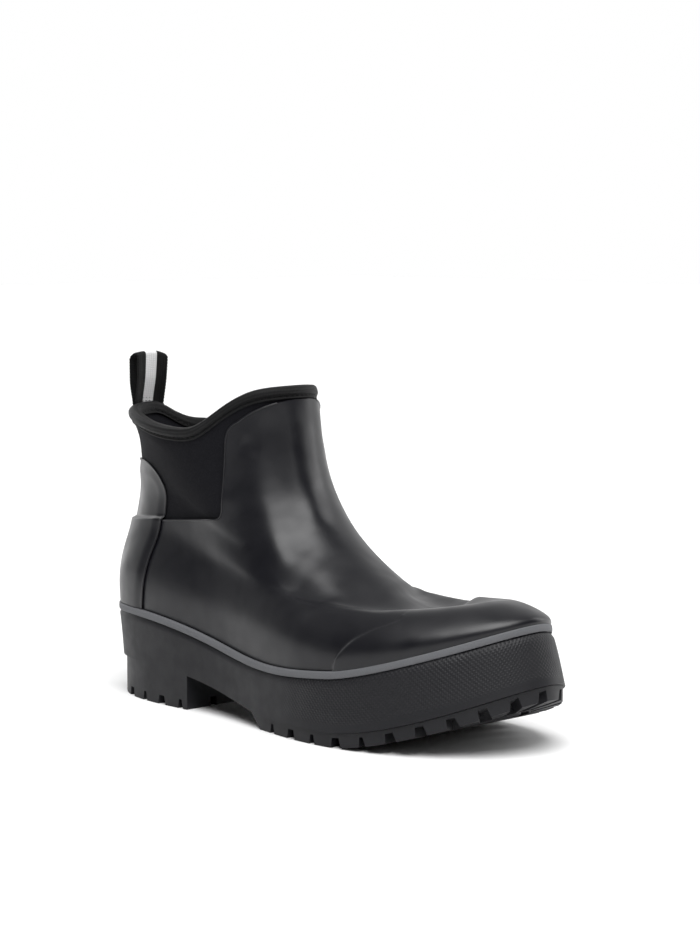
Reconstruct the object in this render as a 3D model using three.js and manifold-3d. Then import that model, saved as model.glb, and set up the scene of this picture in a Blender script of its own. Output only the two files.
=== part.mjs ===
// A right ankle rain boot: a moulded rubber shell over a foam bootie, on a deep cupped sole with a lugged
// tread and heel block. The toe points to +X, the outer side of the foot is -Y, up is +Z, and the boot
// stands on z = 0. Lengths are in millimetres.
//
// The shell is lofted through rings that run round the boot. A point on it is named by a turn (0 at the
// back of the heel, 0.5 at the toe, by way of the outer side) and a climb (0 at the top of the grey strip,
// 1 at the collar, and -1 at the bed inside the sole). Every layer is an offset of that one surface.
import * as THREE from "three";
import { mergeVertices } from "three/addons/utils/BufferGeometryUtils.js";
import Module from "manifold-3d";

const wasm = await Module();
wasm.setup();

// Overall sizes
const BOOT_LENGTH = 307;
const BALL_WIDTH = 112;
const COLLAR_FRONT_HEIGHT = 176;
const COLLAR_BACK_HEIGHT = 159;
const COLLAR_DIP_HEIGHT = 151.5;
const FIT_GAP = 0.3;

// Layers of the upper
const RUBBER_WALL = 2;
const BOOTIE_WALL = 3;
const COUNTER_WALL = 1.4;
const TOE_CAP_RISE = 1.6;

// The side window that bares the bootie, from the back of the heel to its front edge
const WINDOW_LENGTH = 109;
const WINDOW_HEIGHT = 105.5;
const WINDOW_SLOPE = 0.1;
const WINDOW_CORNER = 5.5;
const WINDOW_TOP_DROP = 12.5;

// Heel counter, from the back of the heel to its front edge
const COUNTER_LENGTH = 53;
const COUNTER_HEIGHT = 131;
const COUNTER_ROUND = 22;
const COUNTER_LEAN = 11;
const COUNTER_STEP_HEIGHT = 4;

// Toe cap, from the tip of the toe to where its edge meets the strip
const CAP_LENGTH = 95;
const CAP_FOOT = 38;
const CAP_HEIGHT = 24;

// Sole unit
const HEEL_BLOCK_HEIGHT = 20.5;
const HEEL_BREAST_HEIGHT = 18.6;
const HEEL_BLOCK_LENGTH = 87;
const TREAD_HEIGHT = 7.6;
const TREAD_START = 152;
const TOE_SPRING = 29.5;
const SPRING_LENGTH = 99;
const SPRING_POWER = 1.7;
const BED_THICKNESS = 5;
const SKIRT_TUCK = 5;
const TREAD_STEP = 1.2;
const HEEL_STEP = 2.4;
const HEEL_STEP_LENGTH = 45;
const INSOLE_THICKNESS = 4;

// Lugs: the gaps between them, and how far the first gap lies from a tread's corner
const LUG_PITCH = 16;
const LUG_INSET = 9.5;
const LUG_GAP_WIDE = 4.4;
const LUG_GAP_NARROW = 2;
const LUG_GAP_FLARE = 1;
const LUG_GAP_HEIGHT = 5;
const LUG_LENGTH = 17;
const TOE_LUGS_LENGTH = 45;
const CLEAT_PITCH = 16;

// Grey strip, with the height of its top above the floor or the toe spring
const STRIP_HEIGHT = 4;
const STRIP_DEPTH = 2;
const STRIP_HEEL_HEIGHT = 50;
const STRIP_BALL_HEIGHT = 35.5;
const STRIP_TOE_HEIGHT = 42;

// Collar binding
const BINDING_WALL = 1.4;
const BINDING_DROP = 5.5;

// Pull loop
const LOOP_WIDTH = 21;
const LOOP_THICKNESS = 1.3;
const LOOP_HEIGHT = 31;
const LOOP_DEPTH = 8.8;
const LOOP_ROOT = 4.5;
const LOOP_LEAN = 2;

// The last's footprint: shares of its length, and of its half width on that side (outer side negative)
const FOOTPRINT = [
  { place: "heel back", along: 0, across: 0 },
  { place: "heel corner, outer", along: 0.035, across: -0.44 },
  { place: "heel side, outer", along: 0.14, across: -0.7 },
  { place: "waist, outer", along: 0.38, across: -0.76 },
  { place: "ball, outer", along: 0.64, across: -1 },
  { place: "little toe", along: 0.82, across: -0.86 },
  { place: "toe corner, outer", along: 0.935, across: -0.48 },
  { place: "toe tip", along: 1, across: 0.12 },
  { place: "toe corner, inner", along: 0.964, across: 0.52 },
  { place: "big toe", along: 0.87, across: 0.83 },
  { place: "ball, inner", along: 0.71, across: 1 },
  { place: "waist, inner", along: 0.42, across: 0.7 },
  { place: "heel side, inner", along: 0.14, across: 0.69 },
  { place: "heel corner, inner", along: 0.035, across: 0.43 },
];

// The shell's rings, from the strip to the collar. front and back are shares of the boot's length from its
// middle, outer and inner are shares of the ball width, oval is how far the plan shape has gone from the
// footprint to the collar's oval, and the rises are shares of the way from the strip's height to the collar's.
const RINGS = [
  { name: "strip", front: 0.463, back: -0.4965, outer: 0.485, inner: 0.475, oval: 0, riseBack: 0, riseSide: 0, riseFront: 0 },
  { name: "wall", front: 0.461, back: -0.4985, outer: 0.488, inner: 0.478, oval: 0.03, riseBack: 0.1, riseSide: 0.1, riseFront: 0.02 },
  { name: "toe shoulder", front: 0.428, back: -0.4965, outer: 0.465, inner: 0.455, oval: 0.08, riseBack: 0.22, riseSide: 0.2, riseFront: 0.06 },
  { name: "toe top", front: 0.37, back: -0.489, outer: 0.405, inner: 0.4, oval: 0.2, riseBack: 0.34, riseSide: 0.31, riseFront: 0.076 },
  { name: "vamp", front: 0.25, back: -0.48, outer: 0.36, inner: 0.36, oval: 0.4, riseBack: 0.45, riseSide: 0.42, riseFront: -0.016 },
  { name: "low instep", front: 0.165, back: -0.474, outer: 0.335, inner: 0.335, oval: 0.6, riseBack: 0.55, riseSide: 0.53, riseFront: 0.045 },
  { name: "instep", front: 0.075, back: -0.4705, outer: 0.335, inner: 0.335, oval: 0.75, riseBack: 0.64, riseSide: 0.62, riseFront: 0.195 },
  { name: "ankle", front: 0.005, back: -0.469, outer: 0.345, inner: 0.345, oval: 0.87, riseBack: 0.75, riseSide: 0.73, riseFront: 0.365 },
  { name: "shaft", front: -0.04, back: -0.469, outer: 0.355, inner: 0.355, oval: 0.95, riseBack: 0.85, riseSide: 0.84, riseFront: 0.575 },
  { name: "neck", front: -0.058, back: -0.477, outer: 0.365, inner: 0.365, oval: 1, riseBack: 0.93, riseSide: 0.92, riseFront: 0.81 },
  { name: "collar", front: -0.066, back: -0.486, outer: 0.372, inner: 0.372, oval: 1, riseBack: 1, riseSide: 1, riseFront: 1 },
];

// The strip's top along the boot, from its back (-1) to its front (1), as shares of its three heights
const STRIP_LINE = [
  { place: "heel back", along: -1, heel: 1, ball: 0, toe: 0 },
  { place: "heel side", along: -0.65, heel: 1, ball: 0, toe: 0 },
  { place: "waist", along: -0.37, heel: 0.6, ball: 0.4, toe: 0 },
  { place: "arch", along: -0.09, heel: 0.1, ball: 0.9, toe: 0 },
  { place: "ball", along: 0.13, heel: 0, ball: 1, toe: 0 },
  { place: "little toe joint", along: 0.39, heel: 0, ball: 0.58, toe: 0.42 },
  { place: "little toe", along: 0.65, heel: 0, ball: 0.12, toe: 0.88 },
  { place: "toe", along: 1, heel: 0, ball: 0, toe: 1 },
];

// The collar's edge along the boot, as shares of its heights at the front, the back and the dip
const COLLAR_LINE = [
  { place: "back", along: -1, front: 0, back: 1, dip: 0 },
  { place: "back corner", along: -0.56, front: 0, back: 0.6, dip: 0.4 },
  { place: "behind the dip", along: -0.25, front: 0, back: 0.2, dip: 0.8 },
  { place: "dip", along: 0.1, front: 0, back: 0, dip: 1 },
  { place: "foot of the slope", along: 0.3, front: 0.07, back: 0, dip: 0.93 },
  { place: "slope", along: 0.56, front: 0.5, back: 0, dip: 0.5 },
  { place: "shoulder", along: 0.8, front: 0.88, back: 0, dip: 0.12 },
  { place: "front", along: 1, front: 1, back: 0, dip: 0 },
];

// The toe cap's crescent edge, as shares of its height back from its start and up from its foot
const CAP_EDGE = [
  { back: -0.02, up: -0.5 },
  { back: 0.02, up: 0.18 },
  { back: 0.1, up: 0.36 },
  { back: 0.25, up: 0.55 },
  { back: 0.45, up: 0.75 },
  { back: 0.75, up: 0.95 },
  { back: 1.25, up: 1.2 },
];

// The climbs between which the toe cap's rise fades away
const CAP_FADE = [0.03, 0.26];

// How far the sole's wall stands out at its foot, past its top edge, by place along the boot
const WALL_FLARE = [
  { place: "heel back", along: -1, out: -3 },
  { place: "waist", along: -0.4, out: 0 },
  { place: "ball", along: 0.4, out: 2 },
  { place: "toe", along: 1, out: 8.5 },
];

const AROUND = 48;
const CLIMBS = 11;
const STATIONS = 24;

const mix = (a, b, share) => a + (b - a) * share;
const clamp = (x, low = 0, high = 1) => Math.min(high, Math.max(low, x));
const steps = (low, high, count) => Array.from({ length: count + 1 }, (_, i) => mix(low, high, i / count));
const column = (table, key) => table.map((row) => row[key]);

// A rise from 0 to 1 that starts and ends level
function smooth(x) {
  const u = clamp(x);
  return u * u * (3 - 2 * u);
}

// A curve of continuous curvature through values at rising knots, straight beyond its ends
function spline(knots, values) {
  const last = knots.length - 1;
  const slope = new Array(last + 1);
  const upper = new Array(last + 1);
  for (let i = 0; i <= last; i++) {
    const before = i > 0 ? 1 / (knots[i] - knots[i - 1]) : 0;
    const after = i < last ? 1 / (knots[i + 1] - knots[i]) : 0;
    let right = 0;
    if (i > 0) right += 3 * before * before * (values[i] - values[i - 1]);
    if (i < last) right += 3 * after * after * (values[i + 1] - values[i]);
    const pivot = 2 * (before + after) - before * (i > 0 ? upper[i - 1] : 0);
    upper[i] = after / pivot;
    slope[i] = (right - before * (i > 0 ? slope[i - 1] : 0)) / pivot;
  }
  for (let i = last - 1; i >= 0; i--) slope[i] -= upper[i] * slope[i + 1];
  return (x) => {
    if (x <= knots[0]) return values[0] + slope[0] * (x - knots[0]);
    if (x >= knots[last]) return values[last] + slope[last] * (x - knots[last]);
    let i = 0;
    while (x > knots[i + 1]) i++;
    const h = knots[i + 1] - knots[i];
    const u = (x - knots[i]) / h;
    const w = 1 - u;
    const bend = h * u * w * (slope[i] * w - slope[i + 1] * u);
    return values[i] * w * w * (1 + 2 * u) + values[i + 1] * u * u * (1 + 2 * w) + bend;
  };
}

// The footprint as a function of the turn, evenly spaced along each side, in shares from -1 to 1
function footprintCurve() {
  const count = FOOTPRINT.length;
  const slender = BOOT_LENGTH / BALL_WIDTH * 2;
  const gap = (p, q) => Math.hypot(q[0] - p[0], (q[1] - p[1]) / slender);
  const rows = [];
  for (let i = -count; i < 2 * count; i++) rows.push(FOOTPRINT[(i + count) % count]);
  const knots = [0];
  for (let i = 1; i < rows.length; i++) {
    const step = gap([rows[i - 1].along, rows[i - 1].across], [rows[i].along, rows[i].across]);
    knots.push(knots[i - 1] + step);
  }
  const start = knots[count];
  const period = knots[2 * count] - start;
  const x = spline(knots, column(rows, "along"));
  const y = spline(knots, column(rows, "across"));
  const samples = 720;
  const points = steps(start, start + period, samples).map((t) => [x(t), y(t)]);
  let toe = 0;
  points.forEach((p, i) => {
    if (p[0] > points[toe][0]) toe = i;
  });
  const length = [0];
  for (let i = 1; i <= samples; i++) length.push(length[i - 1] + gap(points[i - 1], points[i]));
  const longest = points[toe][0];
  const outermost = Math.min(...points.map((p) => p[1]));
  const innermost = Math.max(...points.map((p) => p[1]));
  return (turn) => {
    const t = turn - Math.floor(turn);
    const wanted = t < 0.5 ? mix(0, length[toe], t * 2) : mix(length[toe], length[samples], t * 2 - 1);
    let i = 0;
    while (i < samples - 1 && length[i + 1] < wanted) i++;
    const u = (wanted - length[i]) / (length[i + 1] - length[i]);
    const across = mix(points[i][1], points[i + 1][1], u);
    return [
      (2 * mix(points[i][0], points[i + 1][0], u)) / longest - 1,
      across < 0 ? -across / outermost : across / innermost,
    ];
  };
}
const footprint = footprintCurve();

// Heights along the sole, by x
const heelBackX = -BOOT_LENGTH / 2;
const toeX = BOOT_LENGTH / 2;
const heelBreastX = heelBackX + HEEL_BLOCK_LENGTH;
const treadStartX = heelBackX + TREAD_START;

const seamCurve = spline(
  [heelBackX, heelBreastX, mix(heelBreastX, treadStartX, 0.6), treadStartX, toeX],
  [HEEL_BLOCK_HEIGHT, HEEL_BREAST_HEIGHT, mix(TREAD_HEIGHT, HEEL_BREAST_HEIGHT, 0.4), TREAD_HEIGHT, TREAD_HEIGHT],
);
const springZ = (x) => TOE_SPRING * clamp((x - toeX + SPRING_LENGTH) / SPRING_LENGTH, 0, 1.1) ** SPRING_POWER;
const seamZ = (x) => (x > treadStartX ? TREAD_HEIGHT : seamCurve(x)) + springZ(x);
const bedZ = (x) => seamZ(x) + BED_THICKNESS;

const shares = (table, keys, sizes) => table.map((row) => keys.reduce((sum, key, i) => sum + row[key] * sizes[i], 0));
const wallHeight = spline(
  column(STRIP_LINE, "along"),
  shares(STRIP_LINE, ["heel", "ball", "toe"], [STRIP_HEEL_HEIGHT, STRIP_BALL_HEIGHT, STRIP_TOE_HEIGHT]),
);
const collarZ = spline(
  column(COLLAR_LINE, "along"),
  shares(COLLAR_LINE, ["front", "back", "dip"], [COLLAR_FRONT_HEIGHT, COLLAR_BACK_HEIGHT, COLLAR_DIP_HEIGHT]),
);
const wallFlare = spline(column(WALL_FLARE, "along"), column(WALL_FLARE, "out"));
const stripX = (along) => BOOT_LENGTH * mix(RINGS[0].back, RINGS[0].front, (along + 1) / 2);
const stripZ = (along) => wallHeight(along) + springZ(stripX(along));

// A ring row's point at a turn
function ringPoint(row, turn) {
  const [footAlong, footAcross] = footprint(turn);
  const angle = 2 * Math.PI * turn;
  const along = mix(footAlong, -Math.cos(angle), row.oval);
  const across = mix(footAcross, -Math.sin(angle), row.oval);
  const back = (row.riseBack * along * (along - 1)) / 2;
  const side = row.riseSide * (1 - along * along);
  const front = (row.riseFront * along * (along + 1)) / 2;
  return new THREE.Vector3(
    BOOT_LENGTH * mix(row.back, row.front, (along + 1) / 2),
    BALL_WIDTH * across * (across < 0 ? row.outer : row.inner),
    mix(stripZ(along), collarZ(along), back + side + front),
  );
}

// The climb of each ring row, by its mean distance from the row below
function ringKnots() {
  const knots = [0];
  for (let i = 1; i < RINGS.length; i++) {
    const gaps = steps(0, 0.875, 7).map((t) => ringPoint(RINGS[i], t).distanceTo(ringPoint(RINGS[i - 1], t)));
    knots.push(knots[i - 1] + gaps.reduce((sum, gap) => sum + gap));
  }
  return knots.map((k) => k / knots[knots.length - 1]);
}
const RING_KNOTS = ringKnots();
const ringColumns = {};
for (const key of Object.keys(RINGS[0]).filter((k) => k !== "name")) {
  ringColumns[key] = spline(RING_KNOTS, column(RINGS, key));
}

// The shell's outer surface, without its toe cap
function bareShell(turn, climb) {
  const row = {};
  for (const key in ringColumns) row[key] = ringColumns[key](clamp(climb));
  const point = ringPoint(row, turn);
  if (climb < 0) {
    point.addScaledVector(flatNormal(turn), SKIRT_TUCK * climb);
    point.z = mix(point.z, bedZ(point.x) + FIT_GAP, -climb);
  }
  return point;
}

// The shell's outward direction
function shellNormal(turn, climb) {
  const step = 1e-3;
  const level = clamp(climb, step, 1 - step);
  const round = bareShell(turn + step, level).sub(bareShell(turn - step, level));
  const up = bareShell(turn, level + step).sub(bareShell(turn, level - step));
  const normal = round.cross(up).normalize();
  return climb < 0 ? normal.setZ(0).normalize() : normal;
}

// The outward direction at the top of the strip, level with the floor
const flatNormal = (turn) => shellNormal(turn, 0).setZ(0).normalize();

// The shell's surface moved out by an offset
function shell(turn, climb, offset = 0) {
  return bareShell(turn, climb).addScaledVector(shellNormal(turn, climb), offset);
}

const TURNS = steps(0, 1, AROUND)
  .slice(0, AROUND)
  .map((even) => even - (0.3 / (4 * Math.PI)) * Math.sin(4 * Math.PI * even));

function geometryOf(positions, indices) {
  const geometry = new THREE.BufferGeometry();
  geometry.setAttribute("position", new THREE.Float32BufferAttribute(positions, 3));
  geometry.setIndex(indices);
  return geometry;
}

// The faces between sections at some turns, each section a loop of n points, going up the outside and down
// the inside. The quads' diagonals run the same way over every layer, and mirrored on the boot's other side.
function loftFaces(turns, n, around) {
  const indices = [];
  for (let j = 0; j < (around ? turns.length : turns.length - 1); j++) {
    const here = j * n;
    const next = ((j + 1) % turns.length) * n;
    const outerSide = turns[j] - Math.floor(turns[j]) < 0.5;
    for (let i = 0; i < n; i++) {
      const k = (i + 1) % n;
      const goingUp = i < n / 2;
      if (goingUp === outerSide) indices.push(here + i, next + i, next + k, here + i, next + k, here + k);
      else indices.push(here + i, next + i, here + k, next + i, next + k, here + k);
    }
  }
  return indices;
}

// A closed ring-shaped solid: a section of points, each a function of the turn, carried round the boot
function ringSolid(section) {
  const positions = TURNS.flatMap((turn) => section.flatMap((at) => at(turn).toArray()));
  return geometryOf(positions, loftFaces(TURNS, section.length, true));
}

// A closed band: a section carried over some turns, with both ends closed by its flat outline
function bandSolid(section, turns, outline) {
  const n = section.length;
  const positions = turns.flatMap((turn) => section.flatMap((at) => at(turn).toArray()));
  const indices = loftFaces(turns, n, false);
  const last = (turns.length - 1) * n;
  for (const [a, b, c] of THREE.ShapeUtils.triangulateShape(outline, [])) {
    indices.push(a, b, c, last + a, last + c, last + b);
  }
  return geometryOf(positions, indices);
}

function manifoldOf(geometry) {
  const bare = geometry.clone();
  for (const name of Object.keys(bare.attributes)) {
    if (name !== "position") bare.deleteAttribute(name);
  }
  const merged = mergeVertices(bare, 1e-4);
  return new wasm.Manifold(
    new wasm.Mesh({
      numProp: 3,
      vertProperties: new Float32Array(merged.attributes.position.array),
      triVerts: new Uint32Array(merged.index.array),
    }),
  );
}

// A solid that stands between two levels on an outline, which is a function of the turn
function standing(outline, low, high) {
  const rim = new THREE.Shape(TURNS.map(outline).map((p) => new THREE.Vector2(p.x, p.y)));
  const solid = new THREE.ExtrudeGeometry(rim, { depth: high - low, bevelEnabled: false, steps: 1 });
  return manifoldOf(solid.translate(0, 0, low));
}

function geometryFrom(solid) {
  const mesh = solid.getMesh();
  const geometry = new THREE.BufferGeometry();
  geometry.setAttribute("position", new THREE.BufferAttribute(new Float32Array(mesh.vertProperties), 3));
  geometry.setIndex(new THREE.BufferAttribute(new Uint32Array(mesh.triVerts), 1));
  return geometry;
}

// A side outline, drawn in x and z, carried right across the boot
function sideSlab(outline, curveSegments = 6) {
  const depth = 2 * BALL_WIDTH;
  const slab = new THREE.ExtrudeGeometry(outline, { depth, bevelEnabled: false, curveSegments });
  slab.rotateX(Math.PI / 2);
  slab.translate(0, depth / 2, 0);
  return manifoldOf(slab);
}

// The slab between two lines of heights, from one x to another
function slabBetween(lowZ, highZ, fromX, toX) {
  const places = steps(fromX, toX, STATIONS);
  const low = places.map((x) => new THREE.Vector2(x, lowZ(x)));
  const high = places.map((x) => new THREE.Vector2(x, highZ(x)));
  return sideSlab(new THREE.Shape([...low, ...high.reverse()]));
}

const finish = (color, roughness) => new THREE.MeshStandardMaterial({ color, roughness, metalness: 0 });
const RUBBER = finish(0x26262a, 0.45);
const GREY_RUBBER = finish(0x7c7d80, 0.5);
const FOAM_KNIT = finish(0x121216, 0.85);
const TEXTILE = finish(0x17171a, 0.8);
const WEBBING = finish(0x1b1b1e, 0.8);

function named(name, geometry, material) {
  const mesh = new THREE.Mesh(geometry, material);
  mesh.name = name;
  return mesh;
}

const WALL_LEVELS = [-1, ...steps(0, 1, CLIMBS)];
const BOOTIE_OUTSIDE = -RUBBER_WALL - FIT_GAP;
const BOOTIE_INSIDE = BOOTIE_OUTSIDE - BOOTIE_WALL;

// A layer of the upper between two offsets, each a number or a function of the turn and climb
function layer(outer, inner, levels) {
  const offset = (of, t, c) => (typeof of === "function" ? of(t, c) : of);
  return [
    ...levels.map((c) => (t) => shell(t, c, offset(outer, t, c))),
    ...levels.toReversed().map((c) => (t) => shell(t, c, offset(inner, t, c))),
  ];
}

// The collar ring's place along, from -1 to 1, at an x
const collarRow = RINGS[RINGS.length - 1];
const collarBackX = BOOT_LENGTH * collarRow.back;
const collarFrontX = BOOT_LENGTH * collarRow.front;
const collarEdgeZ = (x) => collarZ(clamp((2 * (x - collarBackX)) / (collarFrontX - collarBackX) - 1, -1, 1));

// The rubber's edge round the window, in side view: along the bottom, up the front and under the binding.
// raise lifts the bottom.
const windowFrontX = heelBackX + WINDOW_LENGTH;
const windowBottomZ = (x) => WINDOW_HEIGHT - (windowFrontX - x) * WINDOW_SLOPE;
function windowOutline(raise = 0) {
  const farX = -BOOT_LENGTH;
  const overTop = 2 * COLLAR_FRONT_HEIGHT;
  const bendX = windowFrontX + WINDOW_CORNER;
  const drop = (x) => {
    return mix(WINDOW_TOP_DROP, BINDING_DROP + 2 * FIT_GAP, (x - bendX) / (collarFrontX - bendX));
  };
  const outline = new THREE.Shape();
  outline.moveTo(farX, windowBottomZ(farX) + raise);
  outline.lineTo(windowFrontX - WINDOW_CORNER, windowBottomZ(windowFrontX - WINDOW_CORNER) + raise);
  const cornerZ = windowBottomZ(windowFrontX) + raise;
  outline.quadraticCurveTo(windowFrontX, cornerZ, windowFrontX, cornerZ + WINDOW_CORNER);
  const bendZ = collarEdgeZ(bendX) - drop(bendX);
  outline.lineTo(windowFrontX, bendZ - 2 * WINDOW_CORNER);
  outline.quadraticCurveTo(windowFrontX, bendZ - WINDOW_CORNER / 2, bendX, bendZ);
  for (const x of steps(bendX, collarFrontX, 5).slice(1)) outline.lineTo(x, collarEdgeZ(x) - drop(x));
  outline.lineTo(BOOT_LENGTH, COLLAR_FRONT_HEIGHT - BINDING_DROP - 2 * FIT_GAP);
  outline.lineTo(BOOT_LENGTH, overTop);
  outline.lineTo(farX, overTop);
  return outline;
}

// The toe cap's place in side view, from its crescent edge to past the toe
function toeCapOutline() {
  const startX = toeX - CAP_LENGTH;
  const edge = CAP_EDGE.map(({ back, up }) => [startX + back * CAP_HEIGHT, CAP_FOOT + up * CAP_HEIGHT]);
  const outline = new THREE.Shape();
  outline.moveTo(edge[0][0], 0);
  for (const [x, z] of edge) outline.lineTo(x, z);
  outline.lineTo(BOOT_LENGTH, CAP_FOOT + 2 * CAP_HEIGHT);
  outline.lineTo(BOOT_LENGTH, 0);
  return outline;
}

function makeUpper() {
  const wall = manifoldOf(ringSolid(layer(0, -RUBBER_WALL, WALL_LEVELS)));
  const sunk = RUBBER_WALL / 4;
  const [fadeStart, fadeEnd] = CAP_FADE;
  const rise = (t, c) => mix(TOE_CAP_RISE, -sunk, smooth((c - fadeStart) / (fadeEnd - fadeStart)));
  const first = fadeStart / 2;
  const capLevels = [first, ...WALL_LEVELS.filter((c) => c > first && c < fadeEnd + 1 / CLIMBS)];
  const capLayer = manifoldOf(ringSolid(layer(rise, -2 * sunk, capLevels)));
  const cap = capLayer.intersect(sideSlab(toeCapOutline()));
  const upper = wall.subtract(sideSlab(windowOutline())).add(cap);
  return named("upper", geometryFrom(upper), RUBBER);
}

function makeBootie() {
  return named("bootie", ringSolid(layer(BOOTIE_OUTSIDE, BOOTIE_INSIDE, WALL_LEVELS)), FOAM_KNIT);
}

// The room that a piece on the bootie, or on the rubber below the window, leaves free
const bootieRoom = () => manifoldOf(ringSolid(layer(BOOTIE_OUTSIDE + FIT_GAP, BOOTIE_INSIDE - FIT_GAP, WALL_LEVELS)));
function rubberRoom() {
  const wall = manifoldOf(ringSolid(layer(FIT_GAP, BOOTIE_INSIDE, WALL_LEVELS)));
  return wall.subtract(sideSlab(windowOutline(FIT_GAP)));
}

// The climb at which the back of the shell reaches a height
function climbAtBack(height) {
  let [low, high] = [0, 1];
  for (let i = 0; i < 30; i++) {
    const middle = (low + high) / 2;
    if (bareShell(0, middle).z < height) low = middle;
    else high = middle;
  }
  return low;
}

// Heel counter: on the rubber below the window, and stepping in onto the bootie above the rubber's edge
function makeCounter() {
  const over = (t, c) => {
    const point = bareShell(t, c);
    const above = (point.z - windowBottomZ(point.x) - 2 * FIT_GAP) / COUNTER_STEP_HEIGHT;
    return COUNTER_WALL + mix(FIT_GAP, BOOTIE_OUTSIDE + FIT_GAP, smooth(above));
  };
  const frontX = heelBackX + COUNTER_LENGTH;
  const topZ = COUNTER_HEIGHT + COUNTER_ROUND / 2;
  const stepZ = windowBottomZ(heelBackX);
  const top = climbAtBack(topZ);
  const covered = TURNS.filter((t) => Math.min(bareShell(t, 0).x, bareShell(t, top).x) < frontX + COUNTER_ROUND / 2);
  const turns = [...covered.filter((t) => t > 0.5).map((t) => t - 1), ...covered.filter((t) => t < 0.5)];
  const heights = [
    ...steps(STRIP_HEEL_HEIGHT + FIT_GAP, stepZ, 4),
    ...steps(stepZ, stepZ + 3 * COUNTER_STEP_HEIGHT, 4).slice(1),
    ...steps(stepZ + 3 * COUNTER_STEP_HEIGHT, topZ, 3).slice(1),
  ];
  const levels = heights.map(climbAtBack);
  const section = layer(over, BOOTIE_OUTSIDE - FIT_GAP, levels);
  const flat = [
    ...levels.map((c) => new THREE.Vector2(1, c)),
    ...levels.toReversed().map((c) => new THREE.Vector2(0, c)),
  ];
  const band = manifoldOf(bandSolid(section, turns, flat));
  const outline = new THREE.Shape();
  const shoulderZ = COUNTER_HEIGHT - COUNTER_ROUND;
  outline.moveTo(-BOOT_LENGTH, 0);
  outline.lineTo(-BOOT_LENGTH, COUNTER_HEIGHT);
  outline.lineTo(frontX - COUNTER_ROUND, COUNTER_HEIGHT);
  outline.quadraticCurveTo(frontX, mix(COUNTER_HEIGHT, shoulderZ, 0.1), frontX, mix(COUNTER_HEIGHT, shoulderZ, 0.75));
  outline.quadraticCurveTo(frontX, windowBottomZ(frontX), frontX - COUNTER_LEAN / 2, mix(shoulderZ, STRIP_HEEL_HEIGHT, 0.4));
  outline.lineTo(frontX - COUNTER_LEAN, 0);
  const counter = band.intersect(sideSlab(outline, 8)).subtract(bootieRoom()).subtract(rubberRoom());
  return named("counter", geometryFrom(counter), RUBBER);
}

// A point by the collar: out from the shell, and down from its edge along the shell (up from it if negative)
function byCollar(turn, out, down) {
  const span = 0.05;
  const fall = (bareShell(turn, 1).z - bareShell(turn, 1 - span).z) / span;
  const point = shell(turn, 1 - Math.max(down, 0) / fall, out);
  point.z -= Math.min(down, 0);
  return point;
}

// The pull loop's legs run up between the bootie and the binding, at the back
const loopHalfTurn = LOOP_WIDTH / 2 / (2 * Math.PI * BALL_WIDTH * collarRow.outer);
const loopInside = BOOTIE_OUTSIDE + FIT_GAP;
const loopMiddle = loopInside + LOOP_THICKNESS;

// How far the binding's outer side has gone out round the loop's legs, from 0 to 1
function pocket(turn) {
  const away = Math.abs(turn - Math.round(turn)) / loopHalfTurn;
  return 1 - smooth((away - 1.1) / 0.7);
}

// A loop of points (out from the shell, down from the collar's edge) carried over some turns
function collarBand(profile, turns) {
  const outline = profile.map(([out, down]) => new THREE.Vector2(out, -down));
  if (THREE.ShapeUtils.isClockWise(outline)) outline.reverse();
  const section = outline.map((p) => (t) => byCollar(t, p.x, -p.y));
  return manifoldOf(bandSolid(section, turns, outline));
}

function makeBinding() {
  const outside = BOOTIE_OUTSIDE + FIT_GAP;
  const inside = BOOTIE_INSIDE - FIT_GAP;
  const middle = (outside + inside) / 2;
  const crown = BINDING_WALL + FIT_GAP;
  const swell = 2 * LOOP_THICKNESS + FIT_GAP;
  const section = [
    [outside + BINDING_WALL * 0.7, BINDING_DROP, 1],
    [outside + BINDING_WALL, BINDING_DROP / 2, 1],
    [outside + BINDING_WALL * 0.6, -crown * 0.4, 1],
    [middle, -crown, 0.5],
    [inside - BINDING_WALL * 0.6, -crown * 0.4, 0],
    [inside - BINDING_WALL, BINDING_DROP / 2, 0],
    [inside - BINDING_WALL * 0.7, BINDING_DROP, 0],
    [inside, BINDING_DROP, 0],
    [inside, -FIT_GAP, 0],
    [outside, -FIT_GAP, 1],
    [outside, BINDING_DROP, 1],
  ];
  const rings = section.map(([out, down, share]) => (t) => byCollar(t, out + pocket(t) * share * swell, down));
  const slotHalf = loopHalfTurn * (1 + (4 * FIT_GAP) / LOOP_WIDTH);
  const slotInside = loopInside - 2 * FIT_GAP;
  const slotOutside = loopInside + 2 * LOOP_THICKNESS + FIT_GAP;
  const slot = collarBand(
    [
      [slotInside, -2 * crown],
      [slotInside, 0],
      [slotInside, LOOP_ROOT + FIT_GAP],
      [slotOutside, LOOP_ROOT + FIT_GAP],
      [slotOutside, 0],
      [slotOutside, -2 * crown],
    ],
    steps(-slotHalf, slotHalf, 4),
  );
  return named("binding", geometryFrom(manifoldOf(ringSolid(rings)).subtract(slot)), TEXTILE);
}

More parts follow.
